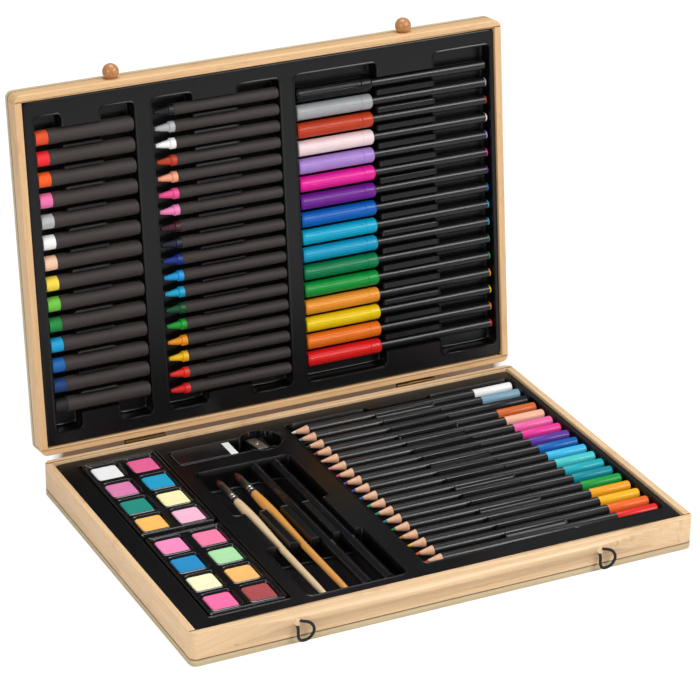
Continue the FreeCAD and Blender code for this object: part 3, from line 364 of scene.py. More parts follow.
def piece(name, shells, finishes, body, nodes=(), sharp=35):
    """One mesh object of all the shells, riding on a body in place of its CAD nodes."""

    def every(key, kind=np.float32):
        """One field of all the shells, end to end."""
        return np.concatenate([getattr(shell, key) for shell in shells]).astype(kind).ravel()

    counts = np.cumsum([0] + [len(shell.points) for shell in shells])
    quads = np.concatenate([shell.quads + start for shell, start in zip(shells, counts)])
    triangles = np.concatenate([shell.triangles + start for shell, start in zip(shells, counts)])
    corners = np.concatenate([quads.ravel(), triangles.ravel()]).astype(np.int32)
    starts = np.cumsum(np.repeat([0, 4, 3], [1, len(quads), len(triangles)]))[:-1]
    mesh = bpy.data.meshes.new(name)
    mesh.vertices.add(int(counts[-1]))
    mesh.vertices.foreach_set("co", every("points"))
    mesh.loops.add(len(corners))
    mesh.loops.foreach_set("vertex_index", corners)
    mesh.polygons.add(len(starts))
    mesh.polygons.foreach_set("loop_start", starts.astype(np.int32))
    for finish in finishes:
        mesh.materials.append(finish)
    zones = np.concatenate([every("quad_zones", np.int32), every("triangle_zones", np.int32)])
    mesh.polygons.foreach_set("material_index", zones)
    tint = mesh.color_attributes.new("tint", "FLOAT_COLOR", "POINT")
    tint.data.foreach_set("color", every("tints"))
    own = mesh.attributes.new("own", "FLOAT_VECTOR", "POINT")
    own.data.foreach_set("vector", every("own"))
    mesh.update(calc_edges=True)
    mesh.validate()
    mesh.polygons.foreach_set("use_smooth", np.ones(len(mesh.polygons), bool))
    mesh.set_sharp_from_angle(angle=math.radians(sharp))
    made = linked(name, mesh)
    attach(made, body)
    if nodes:
        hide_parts(*nodes)
    return made


def turned(half, start, y, z, profile, around=40, along="x", tints=None, ripple=None, spin=0.0):
    """A turned stick: rings about a straight axis, at the profile's places and radii.

    Across the axis a point is its radius times the cosine of its turn, and above it times the sine.
    profile is a list of (place, radius, zone), the zone being that of the stretch up to that place.
    ripple is a function of place and turn that gives a share added to the radius.
    """
    places = np.array([row[0] for row in profile])[:, None]
    radii = np.array([row[1] for row in profile])[:, None]
    zones = [row[2] for row in profile[1:]]
    turn = spin + 2 * np.pi * np.arange(around)[None, :] / around
    if ripple is not None:
        radii = radii * (1 + ripple(places, turn))
    across, up = radii * np.cos(turn), radii * np.sin(turn)
    places = np.broadcast_to(places, across.shape)
    if along == "x":
        rings = half.place(start + places, y + across, z + up)
    else:
        rings = half.place(start + across, y + places, z + up)
    own = np.stack([places, radii * turn, up], axis=-1)
    return skin(rings, own, zones, tints)


def eased(profile, radius, steps=4):
    """The same profile with its first and last corners rounded, in quarter circles of that radius."""
    (a, r, zone), (b, s, last) = profile[0], profile[-1]
    turns = np.linspace(0, np.pi / 2, steps + 1)
    start = [(a + radius * (1 - math.cos(t)), r - radius * (1 - math.sin(t)), zone) for t in turns]
    finish = [(b - radius * (1 - math.cos(t)), s - radius * (1 - math.sin(t)), last)
              for t in turns[::-1]]
    return start + list(profile[1:-1]) + finish


def plan(x0, x1, y0, y1, radii, inset, steps=6):
    """A rectangle with a round corner of its own radius at each corner, moved in by the inset."""
    spots = []
    corners = [(x1, y0, -90, 1, -1), (x1, y1, 0, 1, 1), (x0, y1, 90, -1, 1), (x0, y0, 180, -1, -1)]
    for (x, y, start, right, back), radius in zip(corners, radii):
        radius = max(radius, 1e-5)
        centre = np.array([x - right * radius, y - back * radius])
        left = max(radius - inset, 1e-6)
        shift = max(inset - radius, 0)
        turn = np.radians(np.linspace(start, start + 90, steps + 1))
        spots.append(centre - np.array([right, back]) * shift + left
                     * np.stack([np.cos(turn), np.sin(turn)], 1))
    return np.concatenate(spots)


def level_rings(x, y, radii, levels, steps=6, at=2):
    """Rings of a rectangle's plan, one for each height and inset. at is the height's coordinate."""
    return np.array([np.insert(plan(*x, *y, radii, inset, steps), at, height, axis=1)
                     for height, inset in levels])


def slab(half, x, y, z, radii=(0, 0, 0, 0), edge=0.0005, grain="x", steps=3):
    """A block given by its ranges in a half, its upright corners and its long edges rounded.

    Its rings follow the plan at heights up to the top, moved in by a quarter circle near each end.
    """
    turns = np.linspace(0, np.pi / 2, steps + 1)
    low = [(z[0] + edge * (1 - math.cos(t)), edge * (1 - math.sin(t))) for t in turns]
    high = [(z[1] - edge * (1 - math.sin(t)), edge * (1 - math.cos(t))) for t in turns]
    level = edge + 0.0006
    own = level_rings(x, y, [max(radius, edge) for radius in radii],
                      [(z[0], level)] + low + high + [(z[1], level)])
    return skin(half.put(own), own if grain == "x" else own[..., [1, 0, 2]])


# Formed sheets as height maps


def outside(x, y, area, radius):
    """The distance outside a rectangle with round corners, less than zero inside it."""
    x0, x1, y0, y1 = area
    u = np.abs(x - (x0 + x1) / 2) - (x1 - x0) / 2 + radius
    v = np.abs(y - (y0 + y1) / 2) - (y1 - y0) / 2 + radius
    return np.hypot(np.maximum(u, 0), np.maximum(v, 0)) + np.minimum(np.maximum(u, v), 0) - radius


def well_wall(distance, deep, run):
    """A well's height at a distance outside it: level, then steeply down and rounded to its floor."""
    share = np.clip(-distance / run, 0, 1)
    return -deep * (1 - (1 - share) ** 4) ** 0.6


def lip(distance, tall, wide):
    """A rounded lip just outside a well: a bell-shaped rise about half its width away."""
    return tall * np.exp(-((distance - wide / 2) / (wide / 2.2)) ** 2) * (distance > -wide)


def groove_floor(offset, half_width, deep):
    """A groove's height across it: a half circle below the tool's axis, and steep sides above it."""
    rim = 0.0006
    inside = np.sqrt(np.maximum(half_width ** 2 - offset ** 2, 0))
    rise = np.clip((offset - half_width) / rim, 0, 1)
    return np.where(offset < half_width, -deep - inside, -deep * (1 - rise * rise * (3 - 2 * rise)))


def grid_lines(low, high, edges, spans, step, coarse):
    """Sorted mesh lines: close about each edge, at a step in each span, and coarse elsewhere."""
    near = np.array([-2.6, -1.8, -1.2, -0.75, -0.35, 0, 0.12, 0.35, 0.75, 1.3, 2.2]) / 1000
    closest, closest_to_end = 0.00021, 0.00015
    lines = [np.arange(low, high, coarse)]
    for place, inward in edges:
        lines.append(place + near * inward)
    for start, finish in spans:
        lines.append(np.arange(start, finish, step))
    every = np.unique(np.clip(np.concatenate(lines + [np.array([low, high])]), low, high))
    kept = [every[0]]
    fixed = {round(place, 7) for place, _ in edges}
    for line in every[1:-1]:
        if line - kept[-1] > closest or round(line, 7) in fixed:
            kept.append(line)
    if every[-1] - kept[-1] < closest_to_end:
        kept.pop()
    kept.append(every[-1])
    return np.array(kept)


def lines_along(axis, area, places, spans, step, coarse=0.006):
    """Mesh lines along one axis of an area, close about its own sides and those of the places."""
    sides = slice(2 * axis, 2 * axis + 2)
    edges = [edge for one in (area, *places) for edge in zip(one[sides], (1, -1))]
    return grid_lines(*area[sides], edges, spans, step, coarse)


def round_corners(x, y, area, radius):
    """Moves the grid's corners in to quarter circles: a square corner is scaled to a round one."""
    x0, x1, y0, y1 = area
    for mid_x, way_x in ((x0 + radius, -1), (x1 - radius, 1)):
        for mid_y, way_y in ((y0 + radius, -1), (y1 - radius, 1)):
            u = np.maximum((x - mid_x) * way_x, 0)
            v = np.maximum((y - mid_y) * way_y, 0)
            inside = (u > 0) & (v > 0)
            scale = np.where(inside, np.maximum(u, v) / np.maximum(np.hypot(u, v), 1e-9), 1)
            x = np.where(inside, mid_x + way_x * u * scale, x)
            y = np.where(inside, mid_y + way_y * v * scale, y)
    return x, y


def sheet_shell(half, top, xs, ys, height, area, radius, bottom, edge_drop=0.0):
    """A closed shell: a height map on the grid, a wall round its edge, and a level underside.

    Over the last millimetre before the edge the map drops by edge_drop, as a square.
    """
    x, y = np.meshgrid(xs, ys, indexing="ij")
    x, y = round_corners(x, y, area, radius)
    z = height(x, y)
    rim = outside(x, y, area, radius)
    z = z - edge_drop * np.clip(1 + rim / 0.001, 0, 1) ** 2
    m, n = x.shape
    number = np.arange(m * n).reshape(m, n)
    quads = np.stack([number[:-1, :-1], number[1:, :-1], number[1:, 1:], number[:-1, 1:]],
                     -1).reshape(-1, 4)
    own = np.stack([x, y, z], -1).reshape(-1, 3)
    border = np.concatenate([number[:-1, 0], number[-1, :-1], number[:0:-1, -1], number[0, :0:-1]])
    count = len(border)
    under = own[border].copy()
    under[:, 2] = bottom
    middle = under.mean(0, keepdims=True)
    points = np.concatenate([own, under, middle])
    low = m * n + np.arange(count)
    after = np.roll(np.arange(count), -1)
    wall = np.stack([border, low, low[after], border[after]], 1)
    fan = np.stack([np.full(count, m * n + count), low[after], low], 1)
    placed = half.place(points[:, 0], points[:, 1], top + points[:, 2])
    quads = np.concatenate([quads, wall])
    return Shell(placed, quads, fan, np.zeros(len(quads), int), np.zeros(count, int), None,
                 points).turned_out()


def row_areas(key, ends):
    """The two wells of a row of tools that lie along x, in metres."""
    left, bridge_left, bridge_right, right = metres(*ROWS[key][5])
    low, high = metres(*ends)
    return [(left, bridge_left, low, high), (bridge_right, right, low, high)]


def row_grooves(key, x, y, gap):
    """Heights of a row's grooves across its bridge, and level elsewhere."""
    first, pitch, _, radius, deep, ends = (np.array(item) / 1000 for item in ROWS[key])
    across, along = (y, x) if key != "brush" else (x, y)
    index = np.clip(np.round((across - first) / pitch), 0, ROWS[key][2] - 1)
    offset = np.abs(across - first - index * pitch)
    heights = groove_floor(offset, radius + gap, deep)
    beyond = 0.0005
    on_bridge = (along > ends[1] - beyond) & (along < ends[2] + beyond)
    return np.where(on_bridge, heights, 0)


def tray(half, prefix, wells, shallow, rows, spans, steps, coarse, finish, seat=None):
    """A formed tray over one half: wells with lips, recesses, grooves across the bridges.

    steps are multiples of the mesh's step along x, over the spans, and along y, over everything.
    """
    wall, sizes = bpy.context.scene.art_case.wall, bpy.context.scene.art_tray
    gap, depth = sizes.gap, WELL_DEPTHS[prefix] / 1000
    thick, edge_drop, recess_corner, lip_fade = 0.0009, 0.0006, 0.002, 0.0004
    area = (wall + gap, half.wide - wall - gap, wall + gap, half.deep - wall - gap)

    def height(x, y):
        """The deepest well or groove at each place, and the highest lip where that is level."""
        level = np.zeros_like(x)
        lips = np.zeros_like(x)
        for well, low in [(well, depth) for well in wells] + shallow:
            distance = outside(x, y, well, sizes.corner if low == depth else recess_corner)
            lips = np.maximum(lips, lip(distance, sizes.lip, sizes.lip_wide))
            level = np.minimum(level, well_wall(distance, low, sizes.draft))
        if seat is not None:
            distance = np.hypot(x - seat[0], y - seat[1]) - seat[2]
            lips = np.maximum(lips, lip(distance, sizes.lip, sizes.lip_wide))
            level = np.minimum(level, well_wall(distance, WELL_DEPTHS["slot"] / 1000, sizes.draft))
        for row in rows:
            level = np.minimum(level, row_grooves(row, x, y, sizes.groove_gap))
        return level + lips * np.clip(1 + level / lip_fade, 0, 1)

    inner = wells + [place for place, _ in shallow]
    xs = lines_along(0, area, inner, spans, sizes.step * steps[0], coarse)
    ys = lines_along(1, area, inner, [area[2:]], sizes.step * steps[1])
    shell = sheet_shell(half, half.tray, xs, ys, height, area, sizes.corner, -(depth + thick),
                        edge_drop)
    piece(f"{prefix}_tray_sheet", [shell], [finish], prefix, [f"{prefix}_tray"],
          sharp=60)


# Finishes


class Signal:
    """A socket's value, on which Python's signs add Math nodes."""

    def __init__(self, graph, socket):
        self.graph = graph
        self.socket = socket

    def math(self, operation, other, turned_round=False):
        """A Math node on this value and another one."""
        first, second = (other, self) if turned_round else (self, other)
        node = self.graph.node("ShaderNodeMath", {"operation": operation}, {0: first, 1: second})
        return Signal(self.graph, node.outputs[0])

    def __add__(self, other):
        return self.math("ADD", other)

    __radd__ = __add__

    def __sub__(self, other):
        return self.math("SUBTRACT", other)

    def __rsub__(self, other):
        return self.math("SUBTRACT", other, True)

    def __mul__(self, other):
        return self.math("MULTIPLY", other)

    __rmul__ = __mul__

    def above(self, level):
        """One where the value is above a level, and else nothing."""
        return self.math("GREATER_THAN", level)


class Finish:
    """The nodes of a material or of the world, added one by one."""

    def __init__(self, name, world=None):
        self.material = bpy.data.materials.new(name) if world is None else world
        self.material.use_nodes = True
        self.tree = self.material.node_tree
        self.tree.nodes.clear()

    def node(self, kind, settings=None, sockets=None):
        """A node of a kind, its settings made first, and its sockets given values or links."""
        node = self.tree.nodes.new(kind)
        for key, value in (settings or {}).items():
            setattr(node, key, value)
        for key, value in (sockets or {}).items():
            if isinstance(value, Signal):
                value = value.socket
            if isinstance(value, bpy.types.NodeSocket):
                self.tree.links.new(value, node.inputs[key])
            else:
                node.inputs[key].default_value = value
        return node

    def attribute(self, name, output):
        """The piece's own attribute of that name."""
        return self.node("ShaderNodeAttribute", {"attribute_name": name}).outputs[output]

    def noise(self, vector, scale, detail=3.0, rough=0.55):
        """Cloudy noise from none to one. Three scales stretch it along the vector's own axes."""
        if isinstance(scale, tuple):
            stretch = {"Vector": vector, "Scale": scale}
            vector, scale = self.node("ShaderNodeMapping", None, stretch).outputs[0], 1.0
        sockets = {"Vector": vector, "Scale": scale, "Detail": detail, "Roughness": rough}
        return Signal(self, self.node("ShaderNodeTexNoise", None, sockets).outputs["Fac"])

    def spread(self, signal, low, high):
        """The value from low to high made to go from nothing to one, and held there."""
        sockets = {"Value": signal, "From Min": low, "From Max": high}
        return Signal(self, self.node("ShaderNodeMapRange", {"clamp": True}, sockets).outputs[0])

    def mix(self, share, first, second, blend="MIX"):
        """Two colours mixed by a share."""
        settings = {"data_type": "RGBA", "blend_type": blend}
        return self.node("ShaderNodeMix", settings, {0: share, 6: first, 7: second}).outputs[2]

    def bump(self, height, distance, strength=1.0):
        """A normal from a height."""
        sockets = {"Height": height, "Distance": distance, "Strength": strength}
        return self.node("ShaderNodeBump", None, sockets).outputs[0]

    def surface(self, **sockets):
        """The finished shader: socket names with spaces are written with underscores."""
        named = {key.replace("_", " "): value for key, value in sockets.items()}
        shader = self.node("ShaderNodeBsdfPrincipled", None, named)
        self.node("ShaderNodeOutputMaterial", None, {"Surface": shader.outputs[0]})
        return self.material


def shade(value, share):
    """A colour made lighter or darker, kept from none to one."""
    return (*(min(part * share, 1) for part in tuple(value)[:3]), 1)


def wood_finish(name, pale, dark, rough=0.42, depth=0.00004, cross=1.0):
    """Lacquered wood: broad clouds, long grain lines and short pores along the piece's own x."""
    f = Finish(name)
    own = f.attribute("own", "Vector")
    clouds = f.spread(f.noise(own, (9, 60, 60), 2), 0.3, 0.7)
    lines = f.spread(f.noise(own, (14, 900 * cross, 900 * cross), 4, 0.6), 0.42, 0.66)
    pores = f.spread(f.noise(own, (160, 2600, 2600), 1), 0.62, 0.72)
    stains = f.spread(f.noise(own, (26, 70, 70), 4, 0.65), 0.56, 0.72)
    base = f.mix(clouds * 0.35, tuple(pale), shade(pale, 0.9))
    base = f.mix(lines * 0.30, base, tuple(dark))
    base = f.mix(stains * 0.38, base, shade(dark, 0.85))
    base = f.mix(pores * 0.30, base, shade(dark, 0.72))
    height = lines * -0.6 + pores * -1.0
    return f.surface(Base_Color=base, Roughness=lines * 0.12 + rough, Normal=f.bump(height, depth),
                     Coat_Weight=0.25, Coat_Roughness=0.25)


def ply_finish(name, pale, dark):
    """Plywood panel: long grain, thin ply lines at heights of its own, and painted shade in a band
    along its top at the seam.
    """
    f = Finish(name)
    own = f.attribute("own", "Vector")
    lines = f.spread(f.noise(own, (10, 500, 500), 4, 0.6), 0.4, 0.7)
    parts = f.node("ShaderNodeSeparateXYZ", None, {0: own})
    height = Signal(f, parts.outputs["Z"])
    ply, seam_shade_from = 0.00166, 0.0043
    wave = (height * (2 * math.pi / ply)).math("SINE", 0)
    plies = f.spread(wave, 0.55, 0.95)
    base = f.mix(lines * 0.35, tuple(pale), tuple(dark))
    base = f.mix(plies * 0.30, base, shade(dark, 0.8))
    # Painted shade: the panel's top band, in the thin gap under the boards, is darkened
    base = f.mix(height.above(seam_shade_from) * 0.8, base, shade(dark, 0.22))
    return f.surface(Base_Color=base, Roughness=0.5, Normal=f.bump(lines * -1.0, 0.00004),
                     Coat_Weight=0.15, Coat_Roughness=0.3)


def sheet_finish(name, black):
    """Formed black sheet: semi-matt, with a fine leathery texture and faint scuffs."""
    f = Finish(name)
    own = f.attribute("own", "Vector")
    fine = f.noise(own, 1400.0, 2)
    cloud = f.noise(own, 40.0, 3)
    scuff = f.spread(f.noise(own, (60, 420, 60), 3, 0.7), 0.62, 0.78)
    base = f.mix(scuff * 0.3, tuple(black), shade(black, 2.6))
    return f.surface(Base_Color=base, Roughness=cloud * 0.10 + fine * 0.06 + 0.23,
                     Normal=f.bump(fine, 0.00003, 0.6), Specular_IOR_Level=0.36)


def gloss_finish(name, tone, rough, coat, fleck=None):
    """Glossy plastic or lacquer with faint unevenness. With no tone it takes the stick's own tint."""
    f = Finish(name)
    own = f.attribute("own", "Vector")
    cloud = f.noise(own, 60.0, 3)
    if tone is None:
        base, shine = f.mix(cloud * 0.16, f.attribute("tint", "Color"), (0, 0, 0, 1)), 0.2
    else:
        base, shine = f.mix(cloud * 0.5, tuple(tone), shade(tone, 1.7)), 0.4
    normal = f.bump(f.noise(own, 900.0, 2), fleck, 0.5) if fleck else f.bump(cloud, 0.00002, 0.5)
    return f.surface(Base_Color=base, Roughness=cloud * 0.1 + rough, Coat_Weight=coat,
                     Coat_Roughness=0.12, Normal=normal, Specular_IOR_Level=shine)


def matt_finish(name, tone, rough=0.75, grain=0.00006, scale=1500.0, vary=0.25):
    """Matt wax, chalk, paint or rubber: a mottled colour and a fine grainy surface."""
    f = Finish(name)
    own = f.attribute("own", "Vector")
    fine = f.noise(own, scale, 3)
    cloud = f.spread(f.noise(own, 260.0, 3), 0.35, 0.7)
    plain = f.attribute("tint", "Color") if tone is None else tuple(tone)
    base = f.mix(cloud * vary, plain, (0.62, 0.62, 0.62, 1), "SOFT_LIGHT")
    base = f.mix((1 - fine) * vary, base, (0.3, 0.3, 0.3, 1), "SOFT_LIGHT")
    return f.surface(Base_Color=base, Roughness=fine * 0.15 + rough,
                     Normal=f.bump(fine + cloud * 0.6, grain))


def wrap_finish(name, tone):
    """Uncoated paper: short fibres, a soft sheen along the stick and rubbed paler patches."""
    f = Finish(name)
    own = f.attribute("own", "Vector")
    fibre = f.noise(own, (900, 2600, 900), 3, 0.7)
    rubbed = f.spread(f.noise(own, (50, 220, 220), 3, 0.65), 0.55, 0.8)
    base = f.mix(rubbed * 0.35, tuple(tone), shade(tone, 1.9))
    base = f.mix(f.spread(fibre, 0.45, 0.75) * 0.25, base, shade(tone, 2.6))
    return f.surface(Base_Color=base, Roughness=fibre * 0.2 + 0.58, Normal=f.bump(fibre, 0.00005))


def metal_finish(name, tone, drawn):
    """Metal with fine lines: drawn, on the piece's own places, or plated, on Object coordinates."""
    f = Finish(name)
    if drawn:
        where, stretch, size = f.attribute("own", "Vector"), (40, 3000, 3000), 120.0
        share, dark, gain, rough = 0.3, 0.75, 0.18, 0.24
    else:
        where, stretch, size = f.node("ShaderNodeTexCoord").outputs["Object"], (90, 2400, 2400), 150.0
        share, dark, gain, rough = 0.35, 0.7, 0.2, 0.25
    lines = f.noise(where, stretch, 3, 0.6)
    base = f.mix(f.noise(where, size, 2) * share, tuple(tone), shade(tone, dark))
    return f.surface(Base_Color=base, Metallic=1.0, Roughness=lines * gain + rough,
                     Normal=f.bump(lines, 0.00002))


def plain_gloss_finish(name, tone):
    """Satin plastic on Object coordinates, for the sharpener's block."""
    f = Finish(name)
    where = f.node("ShaderNodeTexCoord").outputs["Object"]
    fine = f.noise(where, 1200.0, 2)
    base = f.mix(fine * 0.4, tuple(tone), shade(tone, 1.8))
    return f.surface(Base_Color=base, Roughness=fine * 0.1 + 0.3, Normal=f.bump(fine, 0.00002))


def hair_finish(name, tone):
    """Brush hair: fine streaks along the tuft, and painted shade in stripes between the locks."""
    f = Finish(name)
    own = f.attribute("own", "Vector")
    streaks = f.noise(own, (120, 5200, 5200), 3, 0.7)
    locks = f.spread(f.noise(own, (90, 1400, 1400), 2), 0.3, 0.65)
    base = f.mix(streaks, shade(tone, 0.45), shade(tone, 1.7))
    # Painted shade: where this noise is low the hair is darkened, in stripes along the tuft between the
    # locks
    base = f.mix(locks * 0.4, shade(tone, 0.3), base)
    return f.surface(Base_Color=base, Roughness=0.45, Normal=f.bump(streaks, 0.00012))


def cord_finish(name, tone):
    """Woven elastic: two families of slanting yarns round the cord, on its own UV map, with painted
    shade between the yarns and painted sheen on their crowns.
    """
    f = Finish(name)
    uv = f.node("ShaderNodeTexCoord").outputs["UV"]
    parts = f.node("ShaderNodeSeparateXYZ", None, {0: uv})
    along, around = Signal(f, parts.outputs["X"]), Signal(f, parts.outputs["Y"])
    crossings, yarns = 44, 4
    one = ((along * crossings + around * yarns) * (2 * math.pi)).math("SINE", 0)
    two = ((along * crossings - around * yarns) * (2 * math.pi)).math("SINE", 0)
    weave = one * two * 0.5 + 0.5
    # Painted shade and sheen: the colour follows the weave, darker between the yarns and lighter on
    # their crowns
    base = f.mix(weave, shade(tone, 0.6), shade(tone, 2.4))
    return f.surface(Base_Color=base, Roughness=0.78, Normal=f.bump(weave, 0.00012))


# Operators, one for each piece or group of like pieces


def stick_row(key, half):
    """The places of a row's axes and their depth, in metres: first to last, and the height."""
    first, pitch, count, _, deep, _ = ROWS[key]
    return [(first + pitch * i) / 1000 for i in range(count)], half.tray - deep / 1000


def stick_shells(key, half, profile, codes, around, spin, shift=(0, 0, 0), ripple=None):
    """One turned stick for each colour code of a row.

    Each has a turn and a part of the grain of its own.
    """
    places, height = stick_row(key, half)
    start = STICK_STARTS[key] / 1000
    shells = []
    for i, (y, code) in enumerate(zip(places, codes)):
        tints = np.tile(linear(code), (len(profile), 1))
        shell = turned(half, start, y, height, profile, around, "x", tints, ripple, spin * i)
        shell.own = shell.own + np.array(shift) * i
        shells.append(shell)
    return shells


def stood(right, up, back, place):
    """A world matrix from an object's three axes and its place."""
    return Matrix(np.vstack([np.column_stack([right, up, back, place]), (0, 0, 0, 1)]).tolist())


class ART_OT_stage(bpy.types.Operator):
    """The camera at the photograph's viewing angle, the pale floor and the soft studio light"""

    bl_idname = "art_set.stage"
    bl_label = "Camera, floor and light"

    def execute(self, context):
        az, el = math.radians(CAMERA["turn"]), math.radians(CAMERA["tilt"])
        back = np.array([math.sin(az) * math.cos(el), -math.cos(az) * math.cos(el), math.sin(el)])
        right = np.array([math.cos(az), math.sin(az), 0])
        up = np.cross(back, right)
        cosine, sine = math.cos(CAMERA["roll"]), math.sin(CAMERA["roll"])
        data = bpy.data.cameras.new("camera")
        data.lens, data.sensor_width, data.clip_end = CAMERA["lens"], 36, 20
        data.shift_x, data.shift_y = CAMERA["shift"]
        camera = linked("camera", data)
        camera.matrix_world = stood(cosine * right + sine * up, cosine * up - sine * right, back,
                                    CAMERA["place"])
        context.scene.camera = camera
        self.floor()
        self.surroundings(context)
        self.lamps()
        return {"FINISHED"}

    def floor(self):
        """A wide level sheet, white but for the object's shadow and a painted shadow in a strip under
        the lid.
        """
        f = Finish("floor")
        shown = f.node("ShaderNodeLightPath").outputs["Is Camera Ray"]
        where = f.node("ShaderNodeTexCoord").outputs["Object"]
        parts = f.node("ShaderNodeSeparateXYZ", None, {0: where})
        x, y = (Signal(f, parts.outputs[key]) for key in ("X", "Y"))
        # Mask of a slanted strip behind the base and under the lid, where the floor gets a painted
        # shadow
        back = float(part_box("base_panel")[1].y)
        slant, side, far, near = 0.48, (0.171, 0.181), (0.050, 0.085), (0.0, 0.004)
        behind = y - back
        beside = f.spread((x - behind * slant).math("ABSOLUTE", 0), *side)
        beyond = f.spread(behind, *far)
        before = f.spread(behind * -1.0, *near)
        open_floor = beside.math("MAXIMUM", beyond).math("MAXIMUM", before)
        # Inside the strip the floor takes a dark paper colour: a painted shadow of the lid
        shadow, white_paper, own_light = linear("8a7462"), (0.86, 0.86, 0.86, 1), 0.86
        tone = f.mix(open_floor, shadow, white_paper)
        paper = f.node("ShaderNodeBsdfDiffuse", None, {"Color": tone}).outputs[0]
        glow = {"Color": (1, 1, 1, 1), "Strength": 1.1}
        white = f.node("ShaderNodeEmission", None, glow).outputs[0]
        share = Signal(f, shown) * open_floor * own_light
        both = f.node("ShaderNodeMixShader", None, {0: share, 1: paper, 2: white}).outputs[0]
        f.node("ShaderNodeOutputMaterial", None, {"Surface": both})
        half, depth = 6.0, 0.0002
        spots = [(-half, -half), (half, -half), (half, half), (-half, half)]
        mesh = bpy.data.meshes.new("floor")
        mesh.from_pydata([(x, y, -depth) for x, y in spots], [], [(0, 1, 2, 3)])
        mesh.materials.append(f.material)
        linked("floor", mesh)

    def surroundings(self, context):
        """An even white all round, dim as light and bright where the camera sees it."""
        world = bpy.data.worlds.new("studio")
        context.scene.world = world
        f = Finish("studio", world)
        shown = f.node("ShaderNodeLightPath").outputs["Is Camera Ray"]
        lit, seen = (f.node("ShaderNodeBackground", None, {"Color": tone, "Strength": power}).outputs[0]
                     for tone, power in (((0.96, 0.98, 1, 1), 0.2), ((1, 1, 1, 1), 1.0)))
        both = f.node("ShaderNodeMixShader", None, {0: shown, 1: lit, 2: seen}).outputs[0]
        f.node("ShaderNodeOutputWorld", None, {"Surface": both})

    def lamps(self):
        """Soft boxes: the main one at the front right, a weaker one at the left, and one overhead."""
        lamps = [("key_lamp", (1.1, -1.3, 1.25), 0.8, 26.0),
                 ("left_lamp", (-1.5, -0.7, 0.8), 0.9, 12.0),
                 ("top_lamp", (0.1, 0.35, 1.6), 0.8, 14.0)]
        aim = np.array([0, 0.02, 0.08])
        for name, place, wide, power in lamps:
            data = bpy.data.lights.new(name, "AREA")
            data.shape, data.size, data.energy = "SQUARE", wide, power
            back = np.array(place) - aim
            back = back / np.linalg.norm(back)
            side = np.cross([0, 0, 1], back)
            side = side / np.linalg.norm(side)
            linked(name, data).matrix_world = stood(side, np.cross(back, side), back, place)


class ART_OT_loops(bpy.types.Operator):
    """The two elastic loops on the front board and the knots behind it"""

    bl_idname = "art_set.loops"
    bl_label = "Elastic loops"

    def execute(self, context):
        base, _ = halves()
        sizes, tones = context.scene.art_case, context.scene.art_case_colours
        finish = cord_finish("woven_elastic", tones.cord)
        knots = []
        for side, x in (("left", sizes.bead_inset), ("right", base.wide - sizes.bead_inset)):
            route = np.array(LOOP_ROUTE) / 1000
            points = base.place(x + route[:, 0], route[:, 1], sizes.loop_height + route[:, 2])
            curve = bpy.data.curves.new(f"{side}_loop", "CURVE")
            curve.dimensions = "3D"
            line = curve.splines.new("NURBS")
            line.points.add(len(points) - 1)
            for spot, point in zip(line.points, points):
                spot.co = (*point, 1)
            line.order_u = 3
            line.use_endpoint_u = True
            line.resolution_u = 14
            curve.bevel_depth = sizes.cord / 2
            curve.bevel_resolution = 4
            curve.use_fill_caps = True
            curve.materials.append(finish)
            loop = linked(f"{side}_loop", curve)
            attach(loop, "base")
            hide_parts(f"{side}_elastic_loop")
            knots.append(self.knot(base, x, sizes))
        piece("loop_knot_pair", knots, [matt_finish("knotted_elastic", tones.cord)], "base",
              ["loop_knots"])
        return {"FINISHED"}

    def knot(self, base, x, sizes):
        """A tight overhand knot: a ball whose radius swells and sinks in three slanting turns."""
        turn = np.linspace(0.02, np.pi - 0.02, 15)
        long, ball = sizes.knot_long / 2, sizes.knot
        profile = [(long * (1 - math.cos(t)), ball * math.sin(t) ** 0.7, 0) for t in turn]

        def folds(along, angle):
            """A share of the radius: three waves round the knot that slant along it."""
            tall, slant, sunk = 0.08, 2200, 0.02
            return tall * np.sin(3 * angle + along * slant) - sunk

        return turned(base, x, sizes.wall, sizes.loop_height, profile, 30, "y", ripple=folds)


